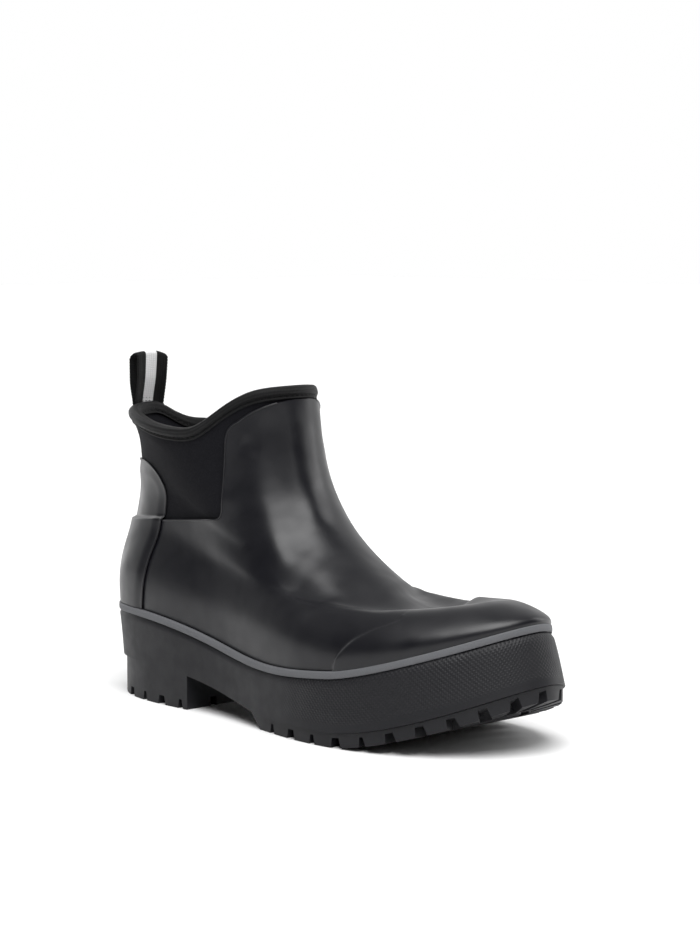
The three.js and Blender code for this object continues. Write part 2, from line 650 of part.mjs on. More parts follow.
// The pull loop: two legs side by side in the binding, that part into a drop shape above it
function makePullLoop() {
  const deep = LOOP_DEPTH / 2;
  const crownHeight = LOOP_HEIGHT - deep;
  const swell = (h) => mix(LOOP_THICKNESS, deep, smooth(h / (LOOP_HEIGHT * 0.55)));
  const lean = (h) => -LOOP_LEAN * smooth(h / LOOP_HEIGHT);
  const heights = steps(2 * BINDING_WALL, crownHeight, 6);
  const side = (sign, inset, parted) => {
    const places = heights.filter((h) => !parted || swell(h) > 1.3 * LOOP_THICKNESS);
    return places.map((h) => [loopMiddle + lean(h) + sign * (swell(h) - inset), -h]);
  };
  const crown = (inset) => {
    return steps(Math.PI / 6, (5 * Math.PI) / 6, 4).map((angle) => {
      const h = crownHeight + (deep - inset) * Math.sin(angle);
      return [loopMiddle + lean(h) + (deep - inset) * Math.cos(angle), -h];
    });
  };
  const legs = [
    [loopInside, 0],
    [loopInside, LOOP_ROOT],
    [loopInside + 2 * LOOP_THICKNESS, LOOP_ROOT],
    [loopInside + 2 * LOOP_THICKNESS, 0],
  ];
  const outer = [...legs, ...side(1, 0, false), ...crown(0), ...side(-1, 0, false).reverse()];
  const open = [
    ...side(1, LOOP_THICKNESS, true),
    ...crown(LOOP_THICKNESS),
    ...side(-1, LOOP_THICKNESS, true).reverse(),
  ];
  const webbing = collarBand(outer, steps(-loopHalfTurn, loopHalfTurn, 4));
  const opening = collarBand(open, steps(-1.2 * loopHalfTurn, 1.2 * loopHalfTurn, 4));
  return named("pull_loop", geometryFrom(webbing.subtract(opening).subtract(bootieRoom())), WEBBING);
}

// A point by the strip: out from the shell, level with the floor, and down from the strip's top
function byStrip(turn, out, down) {
  const point = bareShell(turn, 0).addScaledVector(flatNormal(turn), out);
  point.z -= down;
  return point;
}

function makeStrip() {
  const at = (out, down) => (t) => byStrip(t, out, down);
  const outside = FIT_GAP + STRIP_DEPTH;
  const top = FIT_GAP / 2;
  const section = [at(outside, STRIP_HEIGHT), at(outside, top), at(FIT_GAP, top), at(FIT_GAP, STRIP_HEIGHT)];
  return named("strip", ringSolid(section), GREY_RUBBER);
}

// The sole's wall, from its top under the strip (drop 0) to its foot at the seam (drop 1)
function soleWall(turn, drop, inset = 0) {
  const along = clamp((2 * bareShell(turn, 0).x) / BOOT_LENGTH, -1, 1);
  const point = byStrip(turn, FIT_GAP + STRIP_DEPTH + wallFlare(along) * drop ** 0.75 - inset, STRIP_HEIGHT + FIT_GAP);
  return point.setZ(mix(point.z, seamZ(point.x), drop));
}

// A slab between two lines of heights, longer than the sole at both ends
const soleSlab = (lowZ, highZ) => slabBetween(lowZ, highZ, heelBackX - HEEL_BLOCK_HEIGHT, toeX + HEEL_BLOCK_HEIGHT);

// The sole's side wall, with a cavity for the upper, closed below by a bed that the insole lies on
function makeMidsole() {
  const below = -BED_THICKNESS;
  const wall = ringSolid([
    (t) => soleWall(t, 1).setZ(below),
    (t) => soleWall(t, 1),
    (t) => soleWall(t, 0.6),
    (t) => soleWall(t, 0.25),
    (t) => soleWall(t, 0),
    (t) => byStrip(t, FIT_GAP, STRIP_HEIGHT + FIT_GAP),
    (t) => shell(t, -1, FIT_GAP),
    (t) => shell(t, -1, FIT_GAP).setZ(below),
  ]);
  const middleOfWall = (t) => shell(t, -1, FIT_GAP + STRIP_DEPTH);
  const bed = standing(middleOfWall, below, COLLAR_DIP_HEIGHT).intersect(soleSlab(() => 2 * below, bedZ));
  const belowSeam = soleSlab(() => 4 * below, seamZ);
  return named("midsole", geometryFrom(manifoldOf(wall).add(bed).subtract(belowSeam)), RUBBER);
}

function makeInsole() {
  const rim = standing((t) => shell(t, -1, BOOTIE_INSIDE - FIT_GAP), 0, COLLAR_DIP_HEIGHT);
  const low = (x) => bedZ(x) + FIT_GAP;
  const high = (x) => low(x) + INSOLE_THICKNESS;
  return named("insole", geometryFrom(rim.intersect(soleSlab(low, high))), FOAM_KNIT);
}

// The turn at which the foot of the sole's wall passes an x, between two turns
function turnAt(x, low, high) {
  const rising = soleWall(high, 1).x > soleWall(low, 1).x;
  for (let i = 0; i < 30; i++) {
    const middle = (low + high) / 2;
    if (soleWall(middle, 1).x < x === rising) low = middle;
    else high = middle;
  }
  return low;
}

// A block that cuts a groove, wider at its mouth, into a tread's underside from its rim inwards
function gapCutter(place, outward, width, reach) {
  const tilt = (springZ(place.x + 1) - springZ(place.x - 1)) / 2;
  const up = new THREE.Vector3(-tilt, 0, 1).normalize();
  const out = outward.clone().addScaledVector(up, -outward.dot(up)).normalize();
  const across = new THREE.Vector3().crossVectors(up, out);
  const half = width / 2;
  const mouth = half + 2 * LUG_GAP_FLARE;
  const profile = new THREE.Shape([
    new THREE.Vector2(-mouth, -LUG_GAP_HEIGHT),
    new THREE.Vector2(mouth, -LUG_GAP_HEIGHT),
    new THREE.Vector2(half, LUG_GAP_HEIGHT),
    new THREE.Vector2(-half, LUG_GAP_HEIGHT),
  ]);
  const block = new THREE.ExtrudeGeometry(profile, { depth: reach + LUG_PITCH, bevelEnabled: false });
  block.translate(0, 0, -reach);
  block.applyMatrix4(new THREE.Matrix4().makeBasis(across, up, out).setPosition(place));
  return manifoldOf(block);
}

// Cutters for the gaps between the lugs on a tread's rim, by turns narrow and wide, and all wide at the toe
function lugGaps(outline, from, to) {
  const samples = steps(from, to, 240).map(outline);
  const length = [0];
  for (let i = 1; i < samples.length; i++) {
    length.push(length[i - 1] + Math.hypot(samples[i].x - samples[i - 1].x, samples[i].y - samples[i - 1].y));
  }
  const span = length[length.length - 1] - 2 * LUG_INSET;
  const count = Math.round(span / LUG_PITCH);
  return steps(LUG_INSET, LUG_INSET + span, count).map((wanted, k) => {
    const i = length.findIndex((value) => value >= wanted);
    const tangent = samples[i].clone().sub(samples[i - 1]);
    const outward = new THREE.Vector3(tangent.y, -tangent.x, 0).normalize();
    const place = samples[i].clone().setZ(springZ(samples[i].x));
    const wide = k % 2 === 1 || place.x > toeX - TOE_LUGS_LENGTH;
    return gapCutter(place, outward, wide ? LUG_GAP_WIDE : LUG_GAP_NARROW, LUG_LENGTH);
  });
}

// A tread inside a rim, with lugs round it, a channel inside them and cleats across the middle
function tread(rim, side, from, to) {
  const column = (inset) => standing((t) => rim(t, inset), -BED_THICKNESS, COLLAR_DIP_HEIGHT);
  const block = column(0).intersect(side);
  const inner = column(LUG_LENGTH);
  const { min, max } = block.boundingBox();
  const groove = soleSlab((x) => springZ(x) - LUG_GAP_HEIGHT, (x) => springZ(x) + LUG_GAP_HEIGHT);
  let cut = inner.subtract(column(LUG_LENGTH + LUG_GAP_WIDE)).intersect(groove);
  for (const cutter of lugGaps((t) => rim(t, 0), from, to)) cut = cut.add(cutter);
  const startX = min[0] + LUG_LENGTH;
  const cleats = Math.round((max[0] - LUG_LENGTH - startX) / CLEAT_PITCH);
  for (let k = 1; k < cleats; k++) {
    const x = mix(startX, max[0] - LUG_LENGTH, k / cleats);
    const end = new THREE.Vector3(x, BALL_WIDTH, springZ(x));
    const bar = gapCutter(end, new THREE.Vector3(0, 1, 0), LUG_GAP_NARROW, 2 * BALL_WIDTH);
    cut = cut.add(bar.intersect(inner));
  }
  return block.subtract(cut);
}

function makeOutsole() {
  const outline = new THREE.Shape();
  const farX = toeX + HEEL_BLOCK_HEIGHT;
  const bottom = steps(treadStartX + TREAD_HEIGHT / 3, farX, STATIONS);
  outline.moveTo(bottom[0], 0);
  for (const x of bottom) outline.lineTo(x, springZ(x));
  for (const x of steps(farX, treadStartX - TREAD_HEIGHT, STATIONS)) outline.lineTo(x, seamZ(x) - FIT_GAP);
  outline.quadraticCurveTo(treadStartX - 1, TREAD_HEIGHT / 3, bottom[0], 0);
  const rim = (t, inset) => soleWall(t, 1, TREAD_STEP + inset);
  const solid = tread(rim, sideSlab(outline), turnAt(treadStartX, 0, 0.5), turnAt(treadStartX, 0.5, 1));
  return named("outsole", geometryFrom(solid), RUBBER);
}

function makeHeel() {
  const side = slabBetween(() => 0, (x) => seamZ(x) - FIT_GAP, heelBackX - HEEL_BLOCK_HEIGHT, heelBreastX);
  const rim = (t, inset) => {
    const backward = smooth((heelBackX + HEEL_STEP_LENGTH - bareShell(t, 0).x) / HEEL_STEP_LENGTH);
    return soleWall(t, 1, HEEL_STEP * backward + inset);
  };
  const solid = tread(rim, side, turnAt(heelBreastX, 0.5, 1) - 1, turnAt(heelBreastX, 0, 0.5));
  return named("heel", geometryFrom(solid), RUBBER);
}

const boot = new THREE.Group();
boot.add(
  makeUpper(),
  makeBootie(),
  makeCounter(),
  makeBinding(),
  makePullLoop(),
  makeStrip(),
  makeMidsole(),
  makeInsole(),
  makeOutsole(),
  makeHeel(),
);

const size = new THREE.Box3().setFromObject(boot);
boot.position.set(-(size.min.x + size.max.x) / 2, -(size.min.y + size.max.y) / 2, 0);

export default boot;
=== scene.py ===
"""A right ankle rain boot: a moulded rubber shell over a foam bootie, on a deep cupped sole.

Sizes are in millimetres in the boot's own frame: the toe points to +X, the outer side of the foot is -Y,
up is +Z. A place on the shell is a turn (0 at the back of the heel, 0.5 at the toe, by way of the outer
side) and a climb (0 at the top of the grey strip, 1 at the collar, -1 at the bed inside the sole).
"""

import logging
import math
from collections.abc import Callable, Sequence
from dataclasses import dataclass, field
from enum import Enum

import bpy
import numpy as np
from mathutils import Matrix, Vector


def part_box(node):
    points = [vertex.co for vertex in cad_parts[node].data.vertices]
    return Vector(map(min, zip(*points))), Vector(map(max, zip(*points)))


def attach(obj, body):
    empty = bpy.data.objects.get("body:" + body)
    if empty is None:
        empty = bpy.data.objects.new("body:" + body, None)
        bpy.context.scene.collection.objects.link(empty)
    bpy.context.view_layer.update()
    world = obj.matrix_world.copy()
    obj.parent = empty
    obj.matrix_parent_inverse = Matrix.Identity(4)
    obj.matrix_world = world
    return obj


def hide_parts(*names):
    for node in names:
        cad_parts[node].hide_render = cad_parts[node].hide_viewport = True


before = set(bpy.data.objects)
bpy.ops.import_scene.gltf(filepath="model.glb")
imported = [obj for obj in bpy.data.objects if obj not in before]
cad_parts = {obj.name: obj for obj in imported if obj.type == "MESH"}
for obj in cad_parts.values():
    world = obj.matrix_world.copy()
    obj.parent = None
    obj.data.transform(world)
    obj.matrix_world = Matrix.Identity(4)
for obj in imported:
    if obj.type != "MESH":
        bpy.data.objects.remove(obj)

Array = np.ndarray
Places = Array | float
Outline = list[tuple[float, float]]

MM = 0.001
# How far apart two pieces lie where they meet
FIT_GAP = 0.3
# How far, at least, a cutting block reaches past what it cuts
CLEAR = 10.0
UP = np.array([0.0, 0.0, 1.0])
# The photograph's size in pixels, by which the camera was solved
PHOTO_WIDTH = 700
PHOTO_HEIGHT = 933

log = logging.getLogger("rain_boot")


class Side(Enum):
    """The two sides of a right boot, with the turns that each one spans."""

    OUTER = (0.0, 0.5)
    INNER = (0.5, 1.0)


class Boolean(Enum):
    """How one closed mesh changes another."""

    CUT = "DIFFERENCE"
    JOIN = "UNION"
    KEEP = "INTERSECT"


def smooth(x: Places) -> Array:
    """A rise from 0 to 1 that starts and ends level."""
    u = np.clip(x, 0.0, 1.0)
    return u * u * (3 - 2 * u)


def mix(a: Places, b: Places, share: Places) -> Array:
    """The value at a share of the way from a to b."""
    return a + (b - a) * share


def unit(vectors: Array) -> Array:
    """The vectors at length 1."""
    return vectors / np.maximum(np.linalg.norm(vectors, axis=-1, keepdims=True), 1e-9)


def linear(hex_colour: str) -> tuple[float, float, float, float]:
    """An sRGB colour as linear red, green, blue and alpha.

    Args:
        hex_colour: The colour as "#rrggbb".

    Returns:
        The linear colour with an alpha of 1.
    """
    values = []
    for i in (1, 3, 5):
        c = int(hex_colour[i : i + 2], 16) / 255
        values.append(c / 12.92 if c <= 0.04045 else ((c + 0.055) / 1.055) ** 2.4)
    return (values[0], values[1], values[2], 1.0)


class Curve:
    """A curve of continuous curvature through values at rising knots, straight beyond its ends."""

    def __init__(self, knots: Sequence[float], values: Sequence[float]) -> None:
        """Solves the curve's slopes.

        Args:
            knots: Rising places.
            values: The curve's value at each place.
        """
        self.knots = np.asarray(knots, float)
        self.values = np.asarray(values, float)
        count = len(self.knots)
        grid = np.zeros((count, count))
        right = np.zeros(count)
        for i in range(count - 1):
            near = 1 / (self.knots[i + 1] - self.knots[i])
            pull = 3 * near * near * (self.values[i + 1] - self.values[i])
            grid[i, i] += 2 * near
            grid[i + 1, i + 1] += 2 * near
            grid[i, i + 1] = near
            grid[i + 1, i] = near
            right[i] += pull
            right[i + 1] += pull
        self.slopes = np.linalg.solve(grid, right)

    def __call__(self, at: Places) -> Array:
        """The curve's value at some places."""
        at = np.asarray(at, float)
        i = np.clip(np.searchsorted(self.knots, at, side="right") - 1, 0, len(self.knots) - 2)
        h = self.knots[i + 1] - self.knots[i]
        u = np.clip((at - self.knots[i]) / h, 0, 1)
        w = 1 - u
        bend = h * u * w * (self.slopes[i] * w - self.slopes[i + 1] * u)
        inside = self.values[i] * w * w * (1 + 2 * u) + self.values[i + 1] * u * u * (1 + 2 * w) + bend
        over = at - np.clip(at, self.knots[0], self.knots[-1])
        return inside + np.where(over < 0, self.slopes[0], self.slopes[-1]) * over


# The footprint of the last, as (share of its length, share of its half width on that side), from the back
# of the heel by way of the outer side
FOOTPRINT = (
    (0.0, 0.0),
    (0.035, -0.44),
    (0.14, -0.7),
    (0.38, -0.76),
    (0.64, -1.0),
    (0.82, -0.86),
    (0.935, -0.48),
    (1.0, 0.12),
    (0.964, 0.52),
    (0.87, 0.83),
    (0.71, 1.0),
    (0.42, 0.7),
    (0.14, 0.69),
    (0.035, 0.43),
)

# The shell's rings from the strip to the collar: its front and back as shares of the length, its outer and
# inner reach as shares of the ball width, how oval it is, and its rises at the back, the side and the front
RING_COLUMNS = ("front", "back", "outer", "inner", "oval", "rise_back", "rise_side", "rise_front")
RINGS = (
    (0.463, -0.4965, 0.485, 0.475, 0.0, 0.0, 0.0, 0.0),
    (0.461, -0.4985, 0.488, 0.478, 0.03, 0.1, 0.1, 0.02),
    (0.428, -0.4965, 0.465, 0.455, 0.08, 0.22, 0.2, 0.06),
    (0.37, -0.489, 0.405, 0.4, 0.2, 0.34, 0.31, 0.076),
    (0.25, -0.48, 0.36, 0.36, 0.4, 0.45, 0.42, -0.016),
    (0.165, -0.474, 0.335, 0.335, 0.6, 0.55, 0.53, 0.045),
    (0.075, -0.4705, 0.335, 0.335, 0.75, 0.64, 0.62, 0.195),
    (0.005, -0.469, 0.345, 0.345, 0.87, 0.75, 0.73, 0.365),
    (-0.04, -0.469, 0.355, 0.355, 0.95, 0.85, 0.84, 0.575),
    (-0.058, -0.477, 0.365, 0.365, 1.0, 0.93, 0.92, 0.81),
    (-0.066, -0.486, 0.372, 0.372, 1.0, 1.0, 1.0, 1.0),
)

# The strip's top by place along (-1 to 1), in shares of its heights at the heel, the ball and the toe
STRIP_LINE = (
    (-1.0, 1.0, 0.0, 0.0),
    (-0.65, 1.0, 0.0, 0.0),
    (-0.37, 0.6, 0.4, 0.0),
    (-0.09, 0.1, 0.9, 0.0),
    (0.13, 0.0, 1.0, 0.0),
    (0.39, 0.0, 0.58, 0.42),
    (0.65, 0.0, 0.12, 0.88),
    (1.0, 0.0, 0.0, 1.0),
)

# The collar's edge by place along, in shares of its heights at the front, the back and the dip
COLLAR_LINE = (
    (-1.0, 0.0, 1.0, 0.0),
    (-0.56, 0.0, 0.6, 0.4),
    (-0.25, 0.0, 0.2, 0.8),
    (0.1, 0.0, 0.0, 1.0),
    (0.3, 0.07, 0.0, 0.93),
    (0.56, 0.5, 0.0, 0.5),
    (0.8, 0.88, 0.0, 0.12),
    (1.0, 1.0, 0.0, 0.0),
)

# How far the sole's wall stands out at its foot, by place along
WALL_FLARE = ((-1.0, -3.0), (-0.4, 0.0), (0.4, 2.0), (1.0, 8.5))


@dataclass(frozen=True)
class Crease:
    """A soft trough (negative) or ridge (positive) along a line on the shell, in millimetres."""

    height: float
    width: float
    line: tuple[tuple[float, float, float], ...]
    fade: float = 0.6

    def relief(self, points: Array) -> Array:
        """How far the crease moves the shell at some points.

        Args:
            points: Places in the boot's frame, one to a row.

        Returns:
            The outward move at each point, which fades away at the line's ends.
        """
        line = np.asarray(self.line)
        best = np.full(len(points), 1e9)
        along = np.zeros(len(points))
        for i, (a, b) in enumerate(zip(line[:-1], line[1:], strict=True)):
            share = np.clip(((points - a) @ (b - a)) / ((b - a) @ (b - a)), 0, 1)
            away = np.linalg.norm(points - a - share[:, None] * (b - a), axis=1)
            nearer = away < best
            best = np.where(nearer, away, best)
            along = np.where(nearer, i + share, along)
        ends = smooth(np.minimum(along, len(line) - 1 - along) / self.fade)
        return self.height * np.exp(-((best / self.width) ** 2)) * ends


# The main creases, placed one by one: two soft ridges down the shaft with a hollow between them, a dent near
# the collar, a hollow at the ankle, a ridge and a hollow over the instep, the wide dip of the vamp on the
# inner side, the crease behind the toe cap, three of these again on the inner side, and the crease over the
# heel
CREASES = (
    Crease(1.0, 6.5, ((-20, -10, 172), (-17, -7, 152), (-12, -7, 132), (-5, -6, 118), (4, -11, 102))),
    Crease(0.6, 7.0, ((-33, -28, 150), (-28, -27, 130), (-18, -28, 110), (-9, -32, 93), (4, -33, 82))),
    Crease(-0.9, 7.5, ((-26, -20, 168), (-22, -20, 143), (-15, -20, 122), (-3, -22, 101), (10, -26, 88))),
    Crease(-0.4, 4.0, ((-37, -30, 148), (-32, -27, 144), (-27, -24, 142))),
    Crease(-0.8, 10.0, ((-42, -37, 118), (-36, -41, 98), (-26, -45, 78))),
    Crease(0.8, 9.0, ((10, -20, 90), (30, -26, 77), (50, -28, 69))),
    Crease(-0.8, 8.0, ((6, -36, 84), (22, -40, 71), (38, -44, 59))),
    Crease(-2.8, 21.0, ((36, 25, 78), (50, 30, 71), (64, 34, 67), (78, 36, 65))),
    Crease(-0.7, 7.0, ((56, 18, 72), (60, 4, 71), (66, -14, 69), (70, -28, 66), (66, -42, 56))),
    Crease(0.7, 7.0, ((-33, 28, 150), (-28, 27, 130), (-18, 28, 110), (-9, 32, 93), (4, 33, 82))),
    Crease(-0.8, 10.0, ((-42, 37, 118), (-36, 41, 98), (-26, 45, 78))),
    Crease(-0.8, 8.0, ((6, 36, 84), (22, 40, 71), (38, 44, 59))),
    Crease(-0.8, 4.0, ((-138, -16, 112), (-143, 0, 111), (-138, 16, 112))),
)


@dataclass
class Last:
    """The boot's form: the shell's surface and the sole's outlines, as functions of the turn."""

    length: float = 307.0
    ball_width: float = 112.0
    collar_heights: tuple[float, float, float] = (176.0, 159.0, 151.5)
    collar_inner_height: float = 149.2
    inner_drop_across: float = 0.65
    inner_rise: tuple[float, float] = (0.1, 0.5)
    strip_heights: tuple[float, float, float] = (50.0, 35.5, 42.0)
    strip_height: float = 4.0
    strip_depth: float = 2.0
    heel_block_height: float = 20.5
    heel_breast_height: float = 18.6
    heel_block_length: float = 87.0
    tread_height: float = 7.6
    tread_start: float = 152.0
    toe_spring: float = 29.5
    spring_length: float = 99.0
    spring_power: float = 1.7
    flare_power: float = 0.75
    bed_thickness: float = 5.0
    skirt_tuck: float = 5.0
    rubber_wall: float = 2.0
    bootie_wall: float = 3.0
    binding_drop: float = 5.5
    shift: Array = field(default_factory=lambda: np.zeros(3))

    def __post_init__(self) -> None:
        """Works out the layers, the curves and where the boot stands in the frame."""
        self.bootie_out = -self.rubber_wall - FIT_GAP
        self.bootie_in = self.bootie_out - self.bootie_wall
        self.heel_x = -self.length / 2
        self.toe_x = self.length / 2
        self.breast_x = self.heel_x + self.heel_block_length
        self.tread_x = self.heel_x + self.tread_start
        self.foot = self._footprint()
        strip = np.array(STRIP_LINE)
        collar = np.array(COLLAR_LINE)
        self.wall_height = Curve(strip[:, 0], strip[:, 1:] @ np.array(self.strip_heights))
        self.collar_height = Curve(collar[:, 0], collar[:, 1:] @ np.array(self.collar_heights))
        self.flare = Curve(*np.array(WALL_FLARE).T)
        arch_place, arch_rise = 0.6, 0.4
        seam_x = mix(self.breast_x, self.tread_x, arch_place)
        seam_z = mix(self.tread_height, self.heel_breast_height, arch_rise)
        self.seam_curve = Curve(
            [self.heel_x, self.breast_x, seam_x, self.tread_x, self.toe_x],
            [self.heel_block_height, self.heel_breast_height, seam_z, self.tread_height, self.tread_height],
        )
        rows = np.array(RINGS)
        eighths = np.arange(8) / 8
        knots = [0.0]
        for lower, upper in zip(rows[:-1], rows[1:], strict=True):
            gap = self._ring_point(upper, eighths) - self._ring_point(lower, eighths)
            knots.append(knots[-1] + float(np.linalg.norm(gap, axis=1).sum()))
        knots = np.array(knots) / knots[-1]
        self.columns = [Curve(knots, rows[:, k]) for k in range(len(RING_COLUMNS))]
        self.collar_back_x = self.length * RINGS[-1][1]
        self.collar_front_x = self.length * RINGS[-1][0]
        low, high = (np.array(c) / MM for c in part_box("strip"))
        edge = self.by_strip(self.turns(48), FIT_GAP + self.strip_depth, 0.0)
        middle = (edge.min(0) + edge.max(0)) / 2
        self.shift = np.array([*((low + high) / 2 - middle)[:2], 0.0])

    def _footprint(self) -> Callable[[Array], tuple[Array, Array]]:
        """The footprint as a function of the turn, even along each side, in shares from -1 to 1."""
        rows = np.array(FOOTPRINT * 3)
        slender = self.length / self.ball_width * 2
        gaps = np.hypot(np.diff(rows[:, 0]), np.diff(rows[:, 1]) / slender)
        knots = np.concatenate([[0.0], np.cumsum(gaps)])
        count = len(FOOTPRINT)
        at = np.linspace(knots[count], knots[2 * count], 721)
        x = Curve(knots, rows[:, 0])(at)
        y = Curve(knots, rows[:, 1])(at)
        toe = int(np.argmax(x))
        length = np.concatenate([[0.0], np.cumsum(np.hypot(np.diff(x), np.diff(y) / slender))])
        along = 2 * x / x[toe] - 1
        across = np.where(y < 0, -y / y.min(), y / y.max())

        def foot(turn: Array) -> tuple[Array, Array]:
            """The shares along and across at some turns."""
            t = turn - np.floor(turn)
            first = mix(0, length[toe], t * 2)
            second = mix(length[toe], length[-1], t * 2 - 1)
            wanted = np.where(t < 0.5, first, second)
            return np.interp(wanted, length, along), np.interp(wanted, length, across)

        return foot

    @staticmethod
    def turns(count: int) -> Array:
        """Turns round the boot, closer together at the toe and the heel."""
        closeness = 0.3
        even = np.arange(count) / count
        return even - (closeness / (4 * math.pi)) * np.sin(4 * math.pi * even)

    def spring_z(self, x: Places) -> Array:
        """The height of the tread's underside at an x."""
        share = np.clip((np.asarray(x) - self.toe_x + self.spring_length) / self.spring_length, 0, 1.1)
        return self.toe_spring * share**self.spring_power

    def seam_z(self, x: Places) -> Array:
        """The height of the seam between the sole's wall and what lies under it, at an x."""
        x = np.asarray(x, float)
        level = np.where(x > self.tread_x, self.tread_height, self.seam_curve(x))
        return level + self.spring_z(x)

    def bed_z(self, x: Places) -> Array:
        """The height of the bed inside the sole at an x."""
        return self.seam_z(x) + self.bed_thickness

    def strip_z(self, along: Array) -> Array:
        """The height of the strip's top at a place along the boot."""
        x = self.length * mix(RINGS[0][1], RINGS[0][0], (along + 1) / 2)
        return self.wall_height(along) + self.spring_z(x)

    def collar_edge_z(self, x: Places) -> Array:
        """The height of the collar's edge at an x."""
        span = self.collar_front_x - self.collar_back_x
        return self.collar_height(np.clip(2 * (x - self.collar_back_x) / span - 1, -1, 1))

    def _ring_point(self, row: Sequence[Places], turn: Array) -> Array:
        """A ring row's points at some turns."""
        front, back, outer, inner, oval, rise_back, rise_side, rise_front = row
        foot_along, foot_across = self.foot(turn)
        angle = 2 * math.pi * turn
        along = mix(foot_along, -np.cos(angle), oval)
        across = mix(foot_across, -np.sin(angle), oval)
        rise = rise_back * along * (along - 1) / 2
        rise = rise + rise_side * (1 - along * along) + rise_front * along * (along + 1) / 2
        x = self.length * mix(back, front, (along + 1) / 2)
        y = self.ball_width * across * np.where(across < 0, outer, inner)
        start, end = self.inner_rise
        lowered = smooth(across / self.inner_drop_across) * (1 - smooth((along - start) / (end - start)))
        edge = mix(self.collar_height(along), self.collar_inner_height, lowered)
        z = mix(self.strip_z(along), edge, rise)
        return np.stack([x, y, z], -1)

    def bare(self, turn: Places, climb: Places) -> Array:
        """The shell's outer surface at some turns and climbs, without creases."""
        turn, climb = np.broadcast_arrays(np.asarray(turn, float), np.asarray(climb, float))
        level = np.clip(climb, 0, 1)
        point = self._ring_point([column(level) for column in self.columns], turn)
        sunk = climb < 0
        if sunk.any():
            tucked = point[sunk] + self.flat_normal(turn[sunk]) * (self.skirt_tuck * climb[sunk])[:, None]
            floor = self.bed_z(tucked[:, 0]) + FIT_GAP
            tucked[:, 2] = mix(tucked[:, 2], floor, -climb[sunk])
            point[sunk] = tucked
        return point

    def normal(self, turn: Places, climb: Places) -> Array:
        """The shell's outward direction."""
        turn, climb = np.broadcast_arrays(np.asarray(turn, float), np.asarray(climb, float))
        step = 1e-3
        level = np.clip(climb, step, 1 - step)
        round_way = self.bare(turn + step, level) - self.bare(turn - step, level)
        up_way = self.bare(turn, level + step) - self.bare(turn, level - step)
        out = unit(np.cross(round_way, up_way))
        flat = unit(out * [1, 1, 0])
        return np.where((climb < 0)[..., None], flat, out)

    def flat_normal(self, turn: Places) -> Array:
        """The outward direction at the strip's top, level with the floor."""
        return unit(self.normal(turn, np.zeros_like(np.asarray(turn, float))) * [1, 1, 0])

    def shell(self, turn: Places, climb: Places, offset: Places = 0.0) -> Array:
        """The shell's surface moved out by an offset."""
        offset = np.asarray(offset, float)[..., None]
        return self.bare(turn, climb) + self.normal(turn, climb) * offset

    def creased(self, turn: Places, climb: Places, offset: Places = 0.0) -> Array:
        """The shell's surface with its creases, moved out by an offset."""
        bare = self.bare(turn, climb)
        flat = bare.reshape(-1, 3)
        relief = sum(crease.relief(flat) for crease in CREASES).reshape(bare.shape[:-1])
        foot_fade, top_fade, top_end = 0.05, 0.06, 1.02
        climb = np.asarray(climb)
        near_edges = smooth(climb / foot_fade) * smooth((top_end - climb) / top_fade)
        return bare + self.normal(turn, climb) * (relief * near_edges + offset)[..., None]

    def by_collar(self, turn: Places, out: Places, down: Places) -> Array:
        """A point by the collar: out from the shell, and down from its edge along the shell."""
        turn, out, down = np.broadcast_arrays(turn, out, down)
        span = 0.05
        one = np.ones_like(turn, float)
        fall = (self.bare(turn, one)[..., 2] - self.bare(turn, one - span)[..., 2]) / span
        point = self.shell(turn, 1 - np.maximum(down, 0) / fall, out)
        point[..., 2] -= np.minimum(down, 0)
        return point

    def by_strip(self, turn: Places, out: Places, down: Places) -> Array:
        """A point by the strip: out from the shell, level with the floor, and down from the strip's top."""
        turn, out, down = np.broadcast_arrays(turn, out, down)
        point = self.bare(turn, np.zeros_like(turn, float))
        point = point + self.flat_normal(turn) * np.asarray(out)[..., None]
        point[..., 2] -= down
        return point

    def sole_wall(self, turn: Places, drop: Places, inset: Places = 0.0) -> Array:
        """The sole's wall, from its top under the strip (drop 0) to its foot at the seam (drop 1)."""
        turn, drop, inset = np.broadcast_arrays(turn, drop, inset)
        x = self.bare(turn, np.zeros_like(turn, float))[..., 0]
        flare = self.flare(np.clip(2 * x / self.length, -1, 1))
        out = FIT_GAP + self.strip_depth + flare * drop**self.flare_power - inset
        point = self.by_strip(turn, out, self.strip_height + FIT_GAP)
        point[..., 2] = mix(point[..., 2], self.seam_z(point[..., 0]), drop)
        return point

